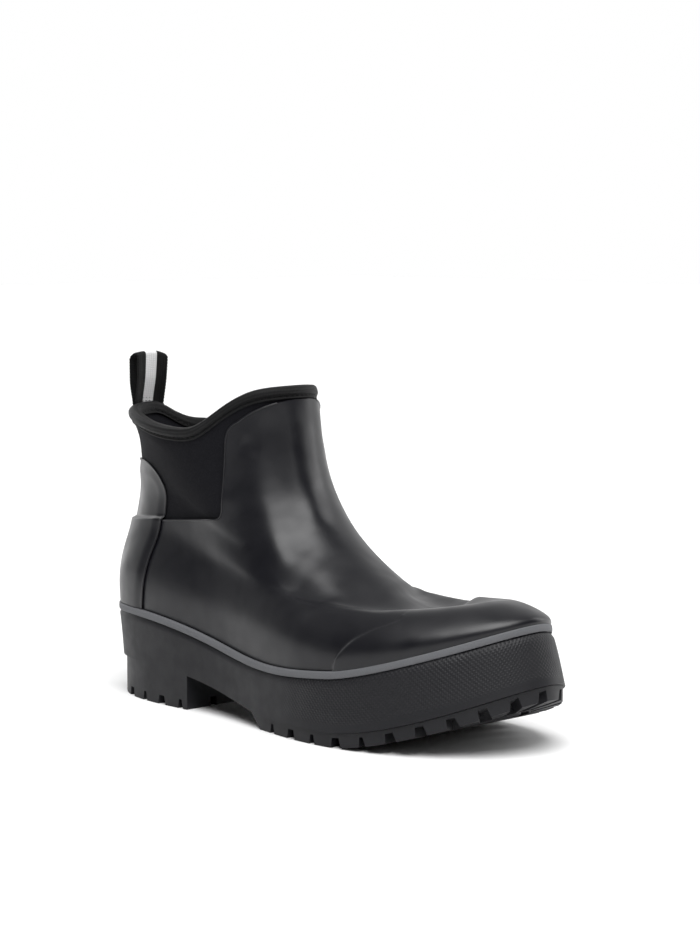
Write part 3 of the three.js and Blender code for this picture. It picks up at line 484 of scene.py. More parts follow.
    def find(self, x: Array, z: Array, side: Side) -> tuple[Array, Array]:
        """The turns and climbs at which one side of the shell passes places in the side view.

        Args:
            x: Places along the boot.
            z: Their heights.
            side: The side of the boot.

        Returns:
            The turns and the climbs.
        """
        low, high = side.value
        turn_limit, climb_limit = 0.01, 0.02
        turns = np.linspace(low + turn_limit, high - turn_limit, 160)
        climbs = np.linspace(0.0, 1.0, 120)
        grid_turn, grid_climb = (a.ravel() for a in np.meshgrid(turns, climbs))
        grid = self.bare(grid_turn, grid_climb)
        away = [(grid[:, 0] - a) ** 2 + (grid[:, 2] - b) ** 2 for a, b in zip(x, z, strict=True)]
        nearest = [int(np.argmin(squares)) for squares in away]
        turn, climb = grid_turn[nearest], grid_climb[nearest]
        step = 1e-4
        for _ in range(8):
            here = self.bare(turn, climb)
            by_turn = (self.bare(turn + step, climb) - here) / step
            by_climb = (self.bare(turn, climb + step) - here) / step
            miss_x, miss_z = x - here[:, 0], z - here[:, 2]
            area = by_turn[:, 0] * by_climb[:, 2] - by_climb[:, 0] * by_turn[:, 2]
            turn_step = (miss_x * by_climb[:, 2] - miss_z * by_climb[:, 0]) / area
            climb_step = (by_turn[:, 0] * miss_z - by_turn[:, 2] * miss_x) / area
            turn = np.clip(turn + np.clip(turn_step, -turn_limit, turn_limit), low, high)
            climb = np.clip(climb + np.clip(climb_step, -climb_limit, climb_limit), 0.0, 1.0)
        return turn, climb


def away_from(line: Outline, x: Array, z: Array) -> Array:
    """The distance from some places to a line, both in the side view.

    Args:
        line: The line's points, as (x, z).
        x: Places along the boot.
        z: Their heights.

    Returns:
        The distance of each place.
    """
    points = np.stack([x, z], -1).reshape(-1, 2)
    best = np.full(len(points), 1e9)
    for a, b in zip(np.array(line[:-1], float), np.array(line[1:], float), strict=True):
        share = np.clip(((points - a) @ (b - a)) / max((b - a) @ (b - a), 1e-9), 0, 1)
        best = np.minimum(best, np.linalg.norm(points - a - share[:, None] * (b - a), axis=1))
    return best.reshape(np.shape(x))


def bent(start: Sequence[float], pull: Sequence[float], end: Sequence[float], count: int = 10) -> Outline:
    """The points of a quadratic curve after its start, up to its end."""
    u = np.linspace(0, 1, count + 1)[1:, None]
    points = (1 - u) ** 2 * np.array(start) + 2 * u * (1 - u) * np.array(pull) + u * u * np.array(end)
    return [tuple(p) for p in points]


def run_along(row: Array) -> Array:
    """The distance run along a row of points, from 0 at its first."""
    return np.concatenate([[0.0], np.cumsum(np.linalg.norm(np.diff(row, axis=0), axis=1))])


@dataclass(frozen=True)
class Stitch:
    """A sewn stitch, in millimetres: from one to the next, its length and its thread's thickness."""

    pitch: float
    length: float
    thick: float


@dataclass
class Bench:
    """Where meshes are made: it places them in the frame, shapes them and hands them to the boot."""

    last: Last

    def mesh(
        self,
        name: str,
        points: Array,
        faces: Sequence[Sequence[int]],
        uv: Array | None = None,
    ) -> bpy.types.Object:
        """A mesh object in the frame.

        Args:
            name: The object's name.
            points: Its points in the boot's own millimetres.
            faces: Its faces, as rows of point numbers.
            uv: A place in millimetres on the material's pattern for each point.

        Returns:
            The new object.
        """
        data = bpy.data.meshes.new(name)
        placed = (np.asarray(points, float).reshape(-1, 3) + self.last.shift) * MM
        data.from_pydata(placed.tolist(), [], [list(face) for face in faces])
        if uv is not None:
            layer = data.uv_layers.new(name="pattern")
            corner = np.empty(len(data.loops), np.int32)
            data.loops.foreach_get("vertex_index", corner)
            layer.data.foreach_set("uv", (uv.reshape(-1, 2)[corner] * MM).ravel())
        data.update()
        piece = bpy.data.objects.new(name, data)
        bpy.context.scene.collection.objects.link(piece)
        return piece

    @staticmethod
    def ring_faces(sections: int, turns: int) -> Array:
        """The faces of sections (rows) carried round all the turns (columns)."""
        i, j = (a.ravel() for a in np.meshgrid(np.arange(sections), np.arange(turns), indexing="ij"))
        above = (i + 1) % sections
        beside = (j + 1) % turns
        return np.stack([i * turns + j, i * turns + beside, above * turns + beside, above * turns + j], -1)

    def ring(self, name: str, sections: Sequence[Array], uv: Array | None = None) -> bpy.types.Object:
        """A closed ring: rows of points round the boot, each joined to the next and the last to the first."""
        grid = np.array(sections)
        return self.mesh(name, grid, self.ring_faces(grid.shape[0], grid.shape[1]), uv)

    def band(self, name: str, grid: Array, uv: Array | None = None) -> bpy.types.Object:
        """A closed band: closed sections (columns of the grid) carried over its rows, with flat ends."""
        rows, n = grid.shape[:2]
        i, j = (a.ravel() for a in np.meshgrid(np.arange(rows - 1), np.arange(n), indexing="ij"))
        beside = (j + 1) % n
        faces = np.stack([i * n + j, i * n + beside, (i + 1) * n + beside, (i + 1) * n + j], -1).tolist()
        faces.append(list(range(n - 1, -1, -1)))
        faces.append([(rows - 1) * n + k for k in range(n)])
        return self.mesh(name, grid, faces, uv)

    def prism(self, low: Array, high: Array) -> bpy.types.Object:
        """A block between two outlines of as many points, one above the other."""
        n = len(low)
        here = np.arange(n)
        beside = (here + 1) % n
        faces = np.stack([here, beside, beside + n, here + n], -1).tolist()
        faces.append(here[::-1].tolist())
        faces.append((here + n).tolist())
        return self.mesh("tool", np.concatenate([low, high]), faces)

    def standing(self, outline: Array, low: float, high: float) -> bpy.types.Object:
        """A block that stands between two levels on an outline."""
        foot = outline * [1, 1, 0]
        return self.prism(foot + UP * low, foot + UP * high)

    def side_slab(self, outline: Outline) -> bpy.types.Object:
        """A side outline carried right across the boot."""
        flat = np.array([(x, 0.0, z) for x, z in outline])
        area = np.sum(flat[:, 0] * np.roll(flat[:, 2], -1) - flat[:, 2] * np.roll(flat[:, 0], -1))
        flat = flat if area > 0 else flat[::-1]
        reach = np.array([0.0, self.last.ball_width, 0.0])
        return self.prism(flat + reach, flat - reach)

    def slab_between(self, low: Callable, high: Callable, from_x: float, to_x: float) -> bpy.types.Object:
        """The slab between two lines of heights, from one x to another."""
        x = np.linspace(from_x, to_x, 90)
        bottom = np.broadcast_to(low(x), x.shape)
        top = np.broadcast_to(high(x), x.shape)
        return self.side_slab([*zip(x, bottom, strict=True), *zip(x[::-1], top[::-1], strict=True)])

    @staticmethod
    def shape(piece: bpy.types.Object, how: Boolean, tool: bpy.types.Object) -> bpy.types.Object:
        """Cuts, joins or keeps a piece with a tool, which is used up.

        Args:
            piece: The closed mesh to change.
            how: What to do with it.
            tool: The closed mesh to do it with.

        Returns:
            The changed piece.
        """
        change = piece.modifiers.new("shape", "BOOLEAN")
        change.operation = how.value
        change.solver = "MANIFOLD"
        change.object = tool
        seen = piece.evaluated_get(bpy.context.evaluated_depsgraph_get())
        old = piece.data
        piece.data = bpy.data.meshes.new_from_object(seen)
        piece.modifiers.clear()
        bpy.data.meshes.remove(old)
        data = tool.data
        bpy.data.objects.remove(tool)
        bpy.data.meshes.remove(data)
        return piece

    @staticmethod
    def ease(piece: bpy.types.Object, width: float, angle: float = 40.0, segments: int = 2) -> None:
        """Rounds a piece's sharp edges.

        Args:
            piece: The piece.
            width: The rounding's width in millimetres.
            angle: The least angle of an edge that is rounded, in degrees.
            segments: The faces across a rounding.
        """
        bevel = piece.modifiers.new("eased_edges", "BEVEL")
        bevel.width = width * MM
        bevel.segments = segments
        bevel.limit_method = "ANGLE"
        bevel.angle_limit = math.radians(angle)
        bevel.use_clamp_overlap = True

    def sweep(self, name: str, path: Array, out: Array, high: float, wide: float) -> bpy.types.Object:
        """A bead of oval section along an open path on a surface.

        Args:
            name: The object's name.
            path: The bead's middle line.
            out: The surface's outward direction at each point of it.
            high: Half the section's height off the surface.
            wide: Half the section's width along the surface.

        Returns:
            The new object.
        """
        side = unit(np.cross(unit(np.gradient(path, axis=0)), out))
        angles = np.linspace(0, 2 * math.pi, 8, endpoint=False)
        sections = [path + out * high * math.cos(a) - side * wide * math.sin(a) for a in angles]
        return self.band(name, np.array(sections).transpose(1, 0, 2)[:, ::-1])

    def stitches(self, name: str, path: Array, out: Array, stitch: Stitch) -> bpy.types.Object:
        """A row of sewn stitches along a path, as one mesh.

        Args:
            name: The object's name.
            path: The row's line on the surface.
            out: The surface's outward direction at each point of it.
            stitch: The stitch's sizes.

        Returns:
            The new object.
        """
        run = run_along(path)
        count = int(run[-1] / stitch.pitch)
        lift, dive = 0.35, 0.5
        share = np.linspace(-1, 1, 7)
        swell = np.sqrt(np.maximum(1 - share**4, 0.02))
        angles = np.linspace(0, 2 * math.pi, 6, endpoint=False)
        points, faces = [], []
        for k in range(count):
            at = (k + 0.5) * run[-1] / count + share * stitch.length / 2
            middle = np.stack([np.interp(at, run, path[:, c]) for c in range(3)], -1)
            up = unit(np.stack([np.interp(at, run, out[:, c]) for c in range(3)], -1))
            side = unit(np.cross(unit(np.gradient(middle, axis=0)), up))
            start = len(points) * len(angles)
            for m, u, s, w, p in zip(middle, up, side, swell, share, strict=True):
                core = m + u * stitch.thick * (lift - dive * p * p)
                thread = stitch.thick / 2 * w
                points.append([core + thread * (u * math.cos(a) + s * math.sin(a)) for a in angles])
            n = len(angles)
            for i in range(len(share) - 1):
                for j in range(n):
                    a, b = start + i * n + j, start + i * n + (j + 1) % n
                    faces.append((a, a + n, b + n, b))
            faces.append(tuple(range(start, start + n)))
            faces.append(tuple(start + (len(share) - 1) * n + j for j in reversed(range(n))))
        return self.mesh(name, np.array(points), faces)

    @staticmethod
    def dress(piece: bpy.types.Object, finish: "Finish", slot: str, *nodes: str, crisp: float = 38.0) -> None:
        """Gives a piece its finish and its place in the boot, and reports it.

        Args:
            piece: The finished mesh object.
            finish: Its material.
            slot: The record's material slot.
            nodes: The CAD nodes that it stands for.
            crisp: The least angle of an edge that stays sharp, in degrees.
        """
        data = piece.data
        data.materials.clear()
        data.materials.append(finish.material())
        data.polygons.foreach_set("use_smooth", [True] * len(data.polygons))
        data.set_sharp_from_angle(angle=math.radians(crisp))
        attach(piece, "root")
        if nodes:
            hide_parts(*nodes)
        log.info("%s: %d faces, %s", piece.name, len(data.polygons), slot)


def add_node(
    tree: bpy.types.NodeTree,
    kind: str,
    settings: dict | None = None,
    **inputs: object,
) -> bpy.types.Node:
    """Adds a node with its settings and links.

    Args:
        tree: The material's node tree.
        kind: The node's type.
        settings: Its own settings by name.
        inputs: A value or another node's output for each input, with _ for a space in its name, or iN for
            the input of number N.

    Returns:
        The new node.
    """
    node = tree.nodes.new(kind)
    for key, value in (settings or {}).items():
        setattr(node, key, value)
    for key, value in inputs.items():
        numbered = key[0] == "i" and key[1:].isdigit()
        socket = node.inputs[int(key[1:]) if numbered else key.replace("_", " ")]
        if isinstance(value, bpy.types.NodeSocket):
            tree.links.new(value, socket)
        else:
            socket.default_value = value
    return node


# Between which heights nearly all of a noise lies
NOISE_REACH = (0.3, 0.7)


@dataclass(frozen=True)
class Finish:
    """A material: what it is, and how its surface was made."""

    name: str
    colour: str
    roughness: float
    ior: float = 1.5
    sheen: float = 0.0
    specular: float = 0.5

    def material(self) -> bpy.types.Material:
        """The Blender material, made once."""
        made = bpy.data.materials.get(self.name)
        if made:
            return made
        made = bpy.data.materials.new(self.name)
        made.use_nodes = True
        made.diffuse_color = linear(self.colour)
        tree = made.node_tree
        shader = tree.nodes["Principled BSDF"]
        for socket, value in (
            ("Base Color", linear(self.colour)),
            ("Roughness", self.roughness),
            ("IOR", self.ior),
            ("Specular IOR Level", self.specular),
            ("Sheen Weight", self.sheen),
            ("Sheen Roughness", 0.5),
        ):
            shader.inputs[socket].default_value = value
        self.surface(tree, shader)
        return made

    def surface(self, tree: bpy.types.NodeTree, shader: bpy.types.Node) -> None:
        """Adds the surface's own patterns to the shader."""

    @staticmethod
    def grain(tree: bpy.types.NodeTree, size_mm: float, detail: float = 3.0) -> bpy.types.NodeSocket:
        """An even grain of a real size, as a height from 0 to 1."""
        where = add_node(tree, "ShaderNodeTexCoord").outputs["Object"]
        noise = add_node(tree, "ShaderNodeTexNoise", Vector=where, Scale=1 / (size_mm * MM), Detail=detail)
        return noise.outputs["Fac"]

    @staticmethod
    def product(
        tree: bpy.types.NodeTree,
        first: bpy.types.NodeSocket,
        second: bpy.types.NodeSocket,
    ) -> bpy.types.NodeSocket:
        """Two patterns multiplied, so that only what both show is left."""
        return add_node(tree, "ShaderNodeMath", {"operation": "MULTIPLY"}, i0=first, i1=second).outputs[0]

    @staticmethod
    def ribs(
        tree: bpy.types.NodeTree,
        place: bpy.types.NodeSocket,
        direction: str,
        size_mm: float,
        distortion: float = 0.0,
    ) -> bpy.types.NodeSocket:
        """Soft parallel ribs of a real size across X or Y, as a height from 0 to 1."""
        settings = {"wave_type": "BANDS", "bands_direction": direction, "wave_profile": "SIN"}
        waves_by_scale = 20 / (2 * math.pi)
        scale = 1 / (waves_by_scale * size_mm * MM)
        inputs = {"Vector": place, "Scale": scale, "Distortion": distortion, "Detail": 1.0}
        return add_node(tree, "ShaderNodeTexWave", settings, **inputs).outputs["Fac"]

    @staticmethod
    def bump(
        tree: bpy.types.NodeTree,
        shader: bpy.types.Node,
        heights: Sequence[tuple[bpy.types.NodeSocket, float]],
    ) -> None:
        """Joins heights of given depths, in millimetres, to the shader as bumps."""
        last = None
        for height, depth in heights:
            inputs = {"Height": height, "Distance": depth * MM, "Strength": 1.0}
            if last is not None:
                inputs["Normal"] = last
            last = add_node(tree, "ShaderNodeBump", **inputs).outputs["Normal"]
        tree.links.new(last, shader.inputs["Normal"])

    @staticmethod
    def spread(
        tree: bpy.types.NodeTree,
        shader: bpy.types.Node,
        socket: str,
        source: bpy.types.NodeSocket,
        low: str | float,
        high: str | float,
    ) -> None:
        """Lets a height from 0 to 1 move a number or colour of the shader between two values."""
        if isinstance(low, str):
            blend = add_node(
                tree, "ShaderNodeMix", {"data_type": "RGBA"}, i0=source, i6=linear(low), i7=linear(high)
            )
            tree.links.new(blend.outputs[2], shader.inputs[socket])
        else:
            least, most = NOISE_REACH
            ranged = add_node(tree, "ShaderNodeMapRange", i0=source, i1=least, i2=most, i3=low, i4=high)
            tree.links.new(ranged.outputs[0], shader.inputs[socket])


@dataclass(frozen=True)
class MouldedRubber(Finish):
    """Natural rubber pressed in a polished mould: soft satin highlights over a very fine grain."""

    grain_mm: float = 0.5
    grain_depth: float = 0.012
    wave_mm: float = 14.0
    wave_depth: float = 0.25
    bloom: tuple[float, float] = (-0.04, 0.06)

    def surface(self, tree: bpy.types.NodeTree, shader: bpy.types.Node) -> None:
        """Adds a fine grain, a slow unevenness and a bloom that dulls some places."""
        fine = self.grain(tree, self.grain_mm)
        slow = self.grain(tree, self.wave_mm, 1.0)
        self.bump(tree, shader, [(slow, self.wave_depth), (fine, self.grain_depth)])
        low, high = (self.roughness + change for change in self.bloom)
        self.spread(tree, shader, "Roughness", slow, low, high)


@dataclass(frozen=True)
class SoleRubber(Finish):
    """Rubber pressed in an etched mould: matte, with a knurl of small diamonds on the forefoot's wall."""

    grain_mm: float = 0.45
    grain_depth: float = 0.03
    wave_mm: float = 9.0
    wave_depth: float = 0.12
    bloom: tuple[float, float] = (-0.05, 0.05)
    knurl_mm: float = 1.7
    knurl_depth: float = 0.22
    knurl_from_mm: float = 22.0
    knurl_fade_mm: float = 26.0
    knurl_rise_mm: tuple[float, float] = (3.0, 6.0)

    def surface(self, tree: bpy.types.NodeTree, shader: bpy.types.Node) -> None:
        """Adds the etched grain, and the knurl where the wall's pattern map says."""
        fine = self.grain(tree, self.grain_mm)
        slow = self.grain(tree, self.wave_mm, 2.0)
        place = add_node(tree, "ShaderNodeUVMap", {"uv_map": "pattern"}).outputs["UV"]
        turned = []
        for angle in (45.0, -45.0):
            spun = add_node(tree, "ShaderNodeVectorRotate", {"rotation_type": "Z_AXIS"}, Vector=place)
            spun.inputs["Angle"].default_value = math.radians(angle)
            turned.append(self.ribs(tree, spun.outputs[0], "X", self.knurl_mm))
        diamonds = self.product(tree, *turned)
        where = add_node(tree, "ShaderNodeTexCoord").outputs["Object"]
        x = add_node(tree, "ShaderNodeSeparateXYZ", Vector=where).outputs["X"]
        start = self.knurl_from_mm * MM
        there = add_node(tree, "ShaderNodeMapRange", i0=x, i1=start, i2=start + self.knurl_fade_mm * MM)
        on_wall = add_node(tree, "ShaderNodeSeparateXYZ", Vector=place).outputs["Y"]
        foot, full = (rise * MM for rise in self.knurl_rise_mm)
        high_up = add_node(tree, "ShaderNodeMapRange", i0=on_wall, i1=foot, i2=full)
        shown = self.product(tree, there.outputs[0], high_up.outputs[0])
        knurl = self.product(tree, diamonds, shown)
        depths = [(slow, self.wave_depth), (fine, self.grain_depth), (knurl, self.knurl_depth)]
        self.bump(tree, shader, depths)
        low, high = (self.roughness + change for change in self.bloom)
        self.spread(tree, shader, "Roughness", slow, low, high)


@dataclass(frozen=True)
class GrainedRubber(Finish):
    """Coloured rubber strip, calendered: matte, with a speckle of filler."""

    light: str = "#808184"
    grain_mm: float = 0.6
    grain_depth: float = 0.05

    def surface(self, tree: bpy.types.NodeTree, shader: bpy.types.Node) -> None:
        """Adds the speckle in colour and height."""
        fine = self.grain(tree, self.grain_mm)
        self.bump(tree, shader, [(fine, self.grain_depth)])
        self.spread(tree, shader, "Base Color", fine, self.colour, self.light)


@dataclass(frozen=True)
class KnitFoam(Finish):
    """Foam rubber faced with a fine knit: a dead black with a faint sheen at a glance."""

    loop_mm: float = 0.7
    loop_depth: float = 0.08
    wave_mm: float = 11.0
    wave_depth: float = 0.2
    light: str = "#17171b"

    def surface(self, tree: bpy.types.NodeTree, shader: bpy.types.Node) -> None:
        """Adds a slow unevenness and the knit's loops, coarser than the real 0.4 mm so that they show."""
        where = add_node(tree, "ShaderNodeTexCoord").outputs["Object"]
        loops = add_node(
            tree, "ShaderNodeTexVoronoi", {"feature": "F1"}, Vector=where, Scale=1 / (self.loop_mm * MM)
        )
        shown = loops.outputs["Distance"]
        slow = self.grain(tree, self.wave_mm, 1.0)
        self.bump(tree, shader, [(slow, self.wave_depth), (shown, self.loop_depth)])
        self.spread(tree, shader, "Base Color", shown, self.colour, self.light)


@dataclass(frozen=True)
class WovenTape(Finish):
    """Polyester tape, woven: fine ribs across it that catch the light."""

    rib_mm: float = 0.8
    rib_depth: float = 0.16
    rib_stretch: float = 1.6
    rib_unevenness: float = 0.6
    wave_mm: float = 6.0
    wave_depth: float = 0.08
    light: str = "#202022"
    stripe: str = ""
    stripe_shade: str = "#dcdcdd"
    stripe_from: float = 0.0
    stripe_to: float = 0.0

    def surface(self, tree: bpy.types.NodeTree, shader: bpy.types.Node) -> None:
        """Adds the weave along the pattern map, and the pale stripe where there is one."""
        place = add_node(tree, "ShaderNodeUVMap", {"uv_map": "pattern"}).outputs["UV"]
        along = self.ribs(tree, place, "X", self.rib_mm, self.rib_unevenness)
        over = self.ribs(tree, place, "Y", self.rib_mm * self.rib_stretch, self.rib_unevenness)
        weave = self.product(tree, along, over)
        slow = self.grain(tree, self.wave_mm, 1.0)
        self.bump(tree, shader, [(slow, self.wave_depth), (weave, self.rib_depth)])
        if not self.stripe:
            self.spread(tree, shader, "Base Color", weave, self.colour, self.light)
            return
        across = add_node(tree, "ShaderNodeSeparateXYZ", Vector=place).outputs["Y"]
        edges = []
        for operation, edge in (("GREATER_THAN", self.stripe_from), ("LESS_THAN", self.stripe_to)):
            beyond = add_node(tree, "ShaderNodeMath", {"operation": operation}, i0=across, i1=edge * MM)
            edges.append(beyond.outputs[0])
        inside = self.product(tree, *edges)
        kind, colours = "ShaderNodeMix", {"data_type": "RGBA"}
        dark = add_node(tree, kind, colours, i0=weave, i6=linear(self.colour), i7=linear(self.light))
        low, high = linear(self.stripe_shade), linear(self.stripe)
        pale = add_node(tree, kind, colours, i0=weave, i6=low, i7=high)
        both = add_node(tree, kind, colours, i0=inside, i6=dark.outputs[2], i7=pale.outputs[2])
        tree.links.new(both.outputs[2], shader.inputs["Base Color"])


@dataclass(frozen=True)
class SewnThread(Finish):
    """Bonded polyester thread: tight, round and a little glossier than the tape."""

    def surface(self, tree: bpy.types.NodeTree, shader: bpy.types.Node) -> None:
        """Adds the twist as a fine grain."""
        self.bump(tree, shader, [(self.grain(tree, 0.3), 0.03)])


@dataclass(frozen=True)
class Paper(Finish):
    """Matte white studio paper under the boot."""

    def surface(self, tree: bpy.types.NodeTree, shader: bpy.types.Node) -> None:
        """Adds the paper's tooth."""
        self.bump(tree, shader, [(self.grain(tree, 2.0), 0.02)])


# Near black with a touch of blue, satin: soft bands of light down the shaft and a bright edge all round
SHELL_RUBBER = MouldedRubber("natural_rubber_moulded", "#0f0f14", 0.37, ior=1.52, specular=0.4)
# The same black but flat, so the deep sole reads duller than the shell above it
WALL_RUBBER = SoleRubber("sole_rubber_moulded", "#131317", 0.55, ior=1.52, specular=0.34)
# A dull mid grey, speckled: the one light line round the boot
STRIP_RUBBER = GrainedRubber("grey_rubber_calendered", "#57585b", 0.65, light="#68696c", specular=0.3)
# The darkest cloth, bluish, without a gleam, so the windows sink back behind the rubber
FOAM_KNIT = KnitFoam("foam_rubber_knit_faced", "#08080d", 0.85, sheen=0.02, specular=0.12)
# Black tape with a faint line of light along its fold
BINDING_TAPE = WovenTape("polyester_tape_folded", "#0b0b0c", 0.6, sheen=0.03, light="#151516", specular=0.2)
# Black thread, told from the tape by its own small lights
THREAD = SewnThread("polyester_thread_sewn", "#070708", 0.5, specular=0.2)
# A soft dark cloth, a shade lighter than the bootie, so that the bed shows from above
INSOLE_CLOTH = KnitFoam("insole_foam_cloth_faced", "#1a1a1d", 0.9, loop_mm=1.1, light="#29292d")
# White paper that the light burns out, as in the photograph
STUDIO_PAPER = Paper("studio_paper", "#f4f4f4", 0.9)

# Edges at least this sharp, in degrees, are eased on a smooth wall, and on lugs
CUT_ANGLE = 55.0
LUG_ANGLE = 40.0


@dataclass
class Shell:
    """The rubber upper and the heel counter, with the lips round their edges."""

    bench: Bench
    counter_wall: float = 1.4
    cap_rise: float = 1.6
    cap_length: float = 95.0
    cap_foot: float = 38.0
    cap_height: float = 24.0
    cap_edge_width: float = 1.8
    cap_fade: tuple[float, float] = (0.03, 0.26)
    window_length: float = 109.0
    window_height: float = 105.5
    window_slope: float = 0.1
    window_corner: float = 5.5
    window_top_drop: float = 12.5
    counter_length: float = 53.0
    counter_height: float = 131.0
    counter_round: float = 22.0
    counter_lean: float = 11.0
    counter_step: float = 2.4
    counter_edge: float = 0.5
    counter_ease: float = 7.0
    counter_reach: float = 0.21
    counter_climbs: tuple[float, float] = (0.002, 0.93)
    counter_lip_height: float = 0.4
    counter_lip_foot: float = 0.5
    counter_lip_back: float = 16.0
    lip: float = 0.6
    lip_height: float = 0.5
    lip_sunk: float = 0.1
    lip_end: float = 3.0
    line_step: float = 1.2
    cut_ease: float = 0.4
    counter_cut_ease: float = 0.35
    cap_edge: Outline = field(
        default_factory=lambda: [
            (-0.02, -0.5),
            (0.02, 0.18),
            (0.1, 0.36),
            (0.25, 0.55),
            (0.45, 0.75),
            (0.75, 0.95),
            (1.25, 1.2),
        ]
    )

    def __post_init__(self) -> None:
        """Works out the window's front edge."""
        self.last = self.bench.last
        self.window_x = self.last.heel_x + self.window_length

    def window_bottom(self, x: Places) -> Array:
        """The height of the window's sill at an x."""
        return self.window_height - (self.window_x - x) * self.window_slope

    def window_line(self) -> Outline:
        """The rubber's edge round the window in the side view: the sill, the front edge and the top."""
        far = -self.last.length
        corner = self.window_corner
        bend_x = self.window_x + corner
        front_x = self.last.collar_front_x
        under_binding = self.last.binding_drop + 2 * FIT_GAP

        def drop(x: float) -> float:
            """How far the edge lies under the collar's edge."""
            share = (x - bend_x) / (front_x - bend_x)
            return float(mix(self.window_top_drop, under_binding, share))

        turn_x = self.window_x - corner
        sill = float(self.window_bottom(self.window_x))
        bend_z = float(self.last.collar_edge_z(bend_x)) - drop(bend_x)
        line: Outline = [(far, float(self.window_bottom(far))), (turn_x, float(self.window_bottom(turn_x)))]
        line += bent(line[-1], (self.window_x, sill), (self.window_x, sill + corner))
        line.append((self.window_x, bend_z - 2 * corner))
        line += bent(line[-1], (self.window_x, bend_z - corner / 2), (bend_x, bend_z))
        for x in np.linspace(bend_x, front_x, 24)[1:]:
            line.append((float(x), float(self.last.collar_edge_z(x)) - drop(float(x))))
        line.append((self.last.length, self.last.collar_heights[0] - under_binding))
        return line

    def cap_line(self) -> Outline:
        """The toe cap's crescent edge in the side view, rounded."""
        start = self.last.toe_x - self.cap_length
        rows = np.array(self.cap_edge)
        run = Curve(rows[:, 1], rows[:, 0])
        up = np.linspace(rows[0, 1], rows[-1, 1], 40)
        return [
            (float(start + run(u) * self.cap_height), float(self.cap_foot + u * self.cap_height)) for u in up
        ]

    def cap_relief(self, points: Array, climb: Array) -> Array:
        """How far the toe cap stands proud of the shell."""
        line = self.cap_line()
        x, z = points[..., 0], points[..., 2]
        edge_x = np.interp(z, [p[1] for p in line], [p[0] for p in line])
        signed = away_from(line, x, z) * np.where(x > edge_x, 1, -1)
        start, end = self.cap_fade
        fade = 1 - smooth((climb - start) / (end - start))
        return self.cap_rise * smooth(signed / self.cap_edge_width) * fade

    @staticmethod
    def upper_turns(count: int) -> Array:
        """Turns round the upper, closer together at the toe, the heel and the ends of the toe cap's edge."""
        cap_ends, reach = (0.37, 0.63), 0.04
        even = np.linspace(0, 1, 2001)
        close = sum(np.exp(-(((even - middle) / reach) ** 2)) for middle in cap_ends)
        density = 1 + 1.6 * close + 0.5 * np.cos(4 * math.pi * even)
        run = np.concatenate([[0.0], np.cumsum((density[1:] + density[:-1]) / 2)])
        return np.interp(np.linspace(0, run[-1], count, endpoint=False), run, even)

    def upper(self) -> None:
        """The upper: one wall of rubber with its creases and toe cap, open at the collar and the windows."""
        turn = self.upper_turns(460)
        outside = np.concatenate([[-1.0, -0.3], np.linspace(0, 1, 140)])
        grid_climb, grid_turn = np.meshgrid(outside, turn, indexing="ij")
        bare = self.last.bare(grid_turn, grid_climb)
        skin = self.last.creased(grid_turn, grid_climb, self.cap_relief(bare, grid_climb))
        inside = np.concatenate([np.linspace(1, 0, 30), [-1.0]])
        grid_climb, grid_turn = np.meshgrid(inside, turn, indexing="ij")
        lining = self.last.creased(grid_turn, grid_climb, -self.last.rubber_wall)
        piece = self.bench.ring("upper_shell", [*skin, *lining])
        top = 2 * self.last.collar_heights[0]
        window = [*self.window_line(), (self.last.length, top), (-self.last.length, top)]
        self.bench.shape(piece, Boolean.CUT, self.bench.side_slab(window))
        self.bench.dress(piece, SHELL_RUBBER, "black_rubber", "upper", crisp=50)
        self.bench.ease(piece, self.cut_ease, CUT_ANGLE)

    def on_shell(self, line: Outline, side: Side, offset: float) -> tuple[Array, Array]:
        """A line of the side view laid on one side of the shell, with the outward directions there."""
        x, z = np.array(line).T
        turn, climb = self.last.find(x, z, side)
        return self.last.creased(turn, climb, offset), self.last.normal(turn, climb)

    @staticmethod
    def resampled(line: Outline, step: float) -> Outline:
        """A line with points an even step apart."""
        points = np.array(line)
        run = run_along(points)
        at = np.linspace(0, run[-1], int(run[-1] / step) + 2)
        return list(zip(np.interp(at, run, points[:, 0]), np.interp(at, run, points[:, 1]), strict=True))

    def window_lips(self) -> None:
        """The thin raised lip along the rubber's edge, on both sides."""
        counter_x = self.last.heel_x + self.counter_length - self.counter_lean / 2
        end_x = self.last.collar_front_x - self.lip_end
        even = self.resampled(self.window_line(), self.line_step)
        line = [p for p in even if counter_x < p[0] < end_x]
        for side in Side:
            path, out = self.on_shell(line, side, -self.lip_sunk)
            name = f"window_lip_{side.name.lower()}"
            lip = self.bench.sweep(name, path, out, self.lip_height, self.lip)
            self.bench.dress(lip, SHELL_RUBBER, "black_rubber")

    def counter_line(self) -> Outline:
        """The counter's edge in the side view: along the top and down the front."""
        front = self.last.heel_x + self.counter_length
        high = self.counter_height
        low = high - self.counter_round
        strip = self.last.strip_heights[0]
        line: Outline = [(-self.last.length, high), (front - self.counter_round, high)]
        line += bent(line[-1], (front, mix(high, low, 0.1)), (front, mix(high, low, 0.75)))
        sill = float(self.window_bottom(front))
        line += bent(line[-1], (front, sill), (front - self.counter_lean * 0.35, mix(low, strip, 0.45)))
        line.append((front - self.counter_lean * 1.25, 0.0))
        return line

    def counter_offset(self, point: Array) -> Array:
        """How far the counter's inner face lies off the shell: on the rubber, then in onto the bootie."""
        sill = self.window_bottom(point[..., 0])
        above = (point[..., 2] - sill - 2 * FIT_GAP) / self.counter_step
        return mix(FIT_GAP, self.last.bootie_out + FIT_GAP, smooth(above))

    def counter_proud(self, point: Array) -> Array:
        """How thick the counter is: thin at its edge, and full a little way in."""
        away = away_from(self.counter_line(), point[..., 0], point[..., 2])
        return mix(self.counter_edge, self.counter_wall, smooth(away / self.counter_ease))

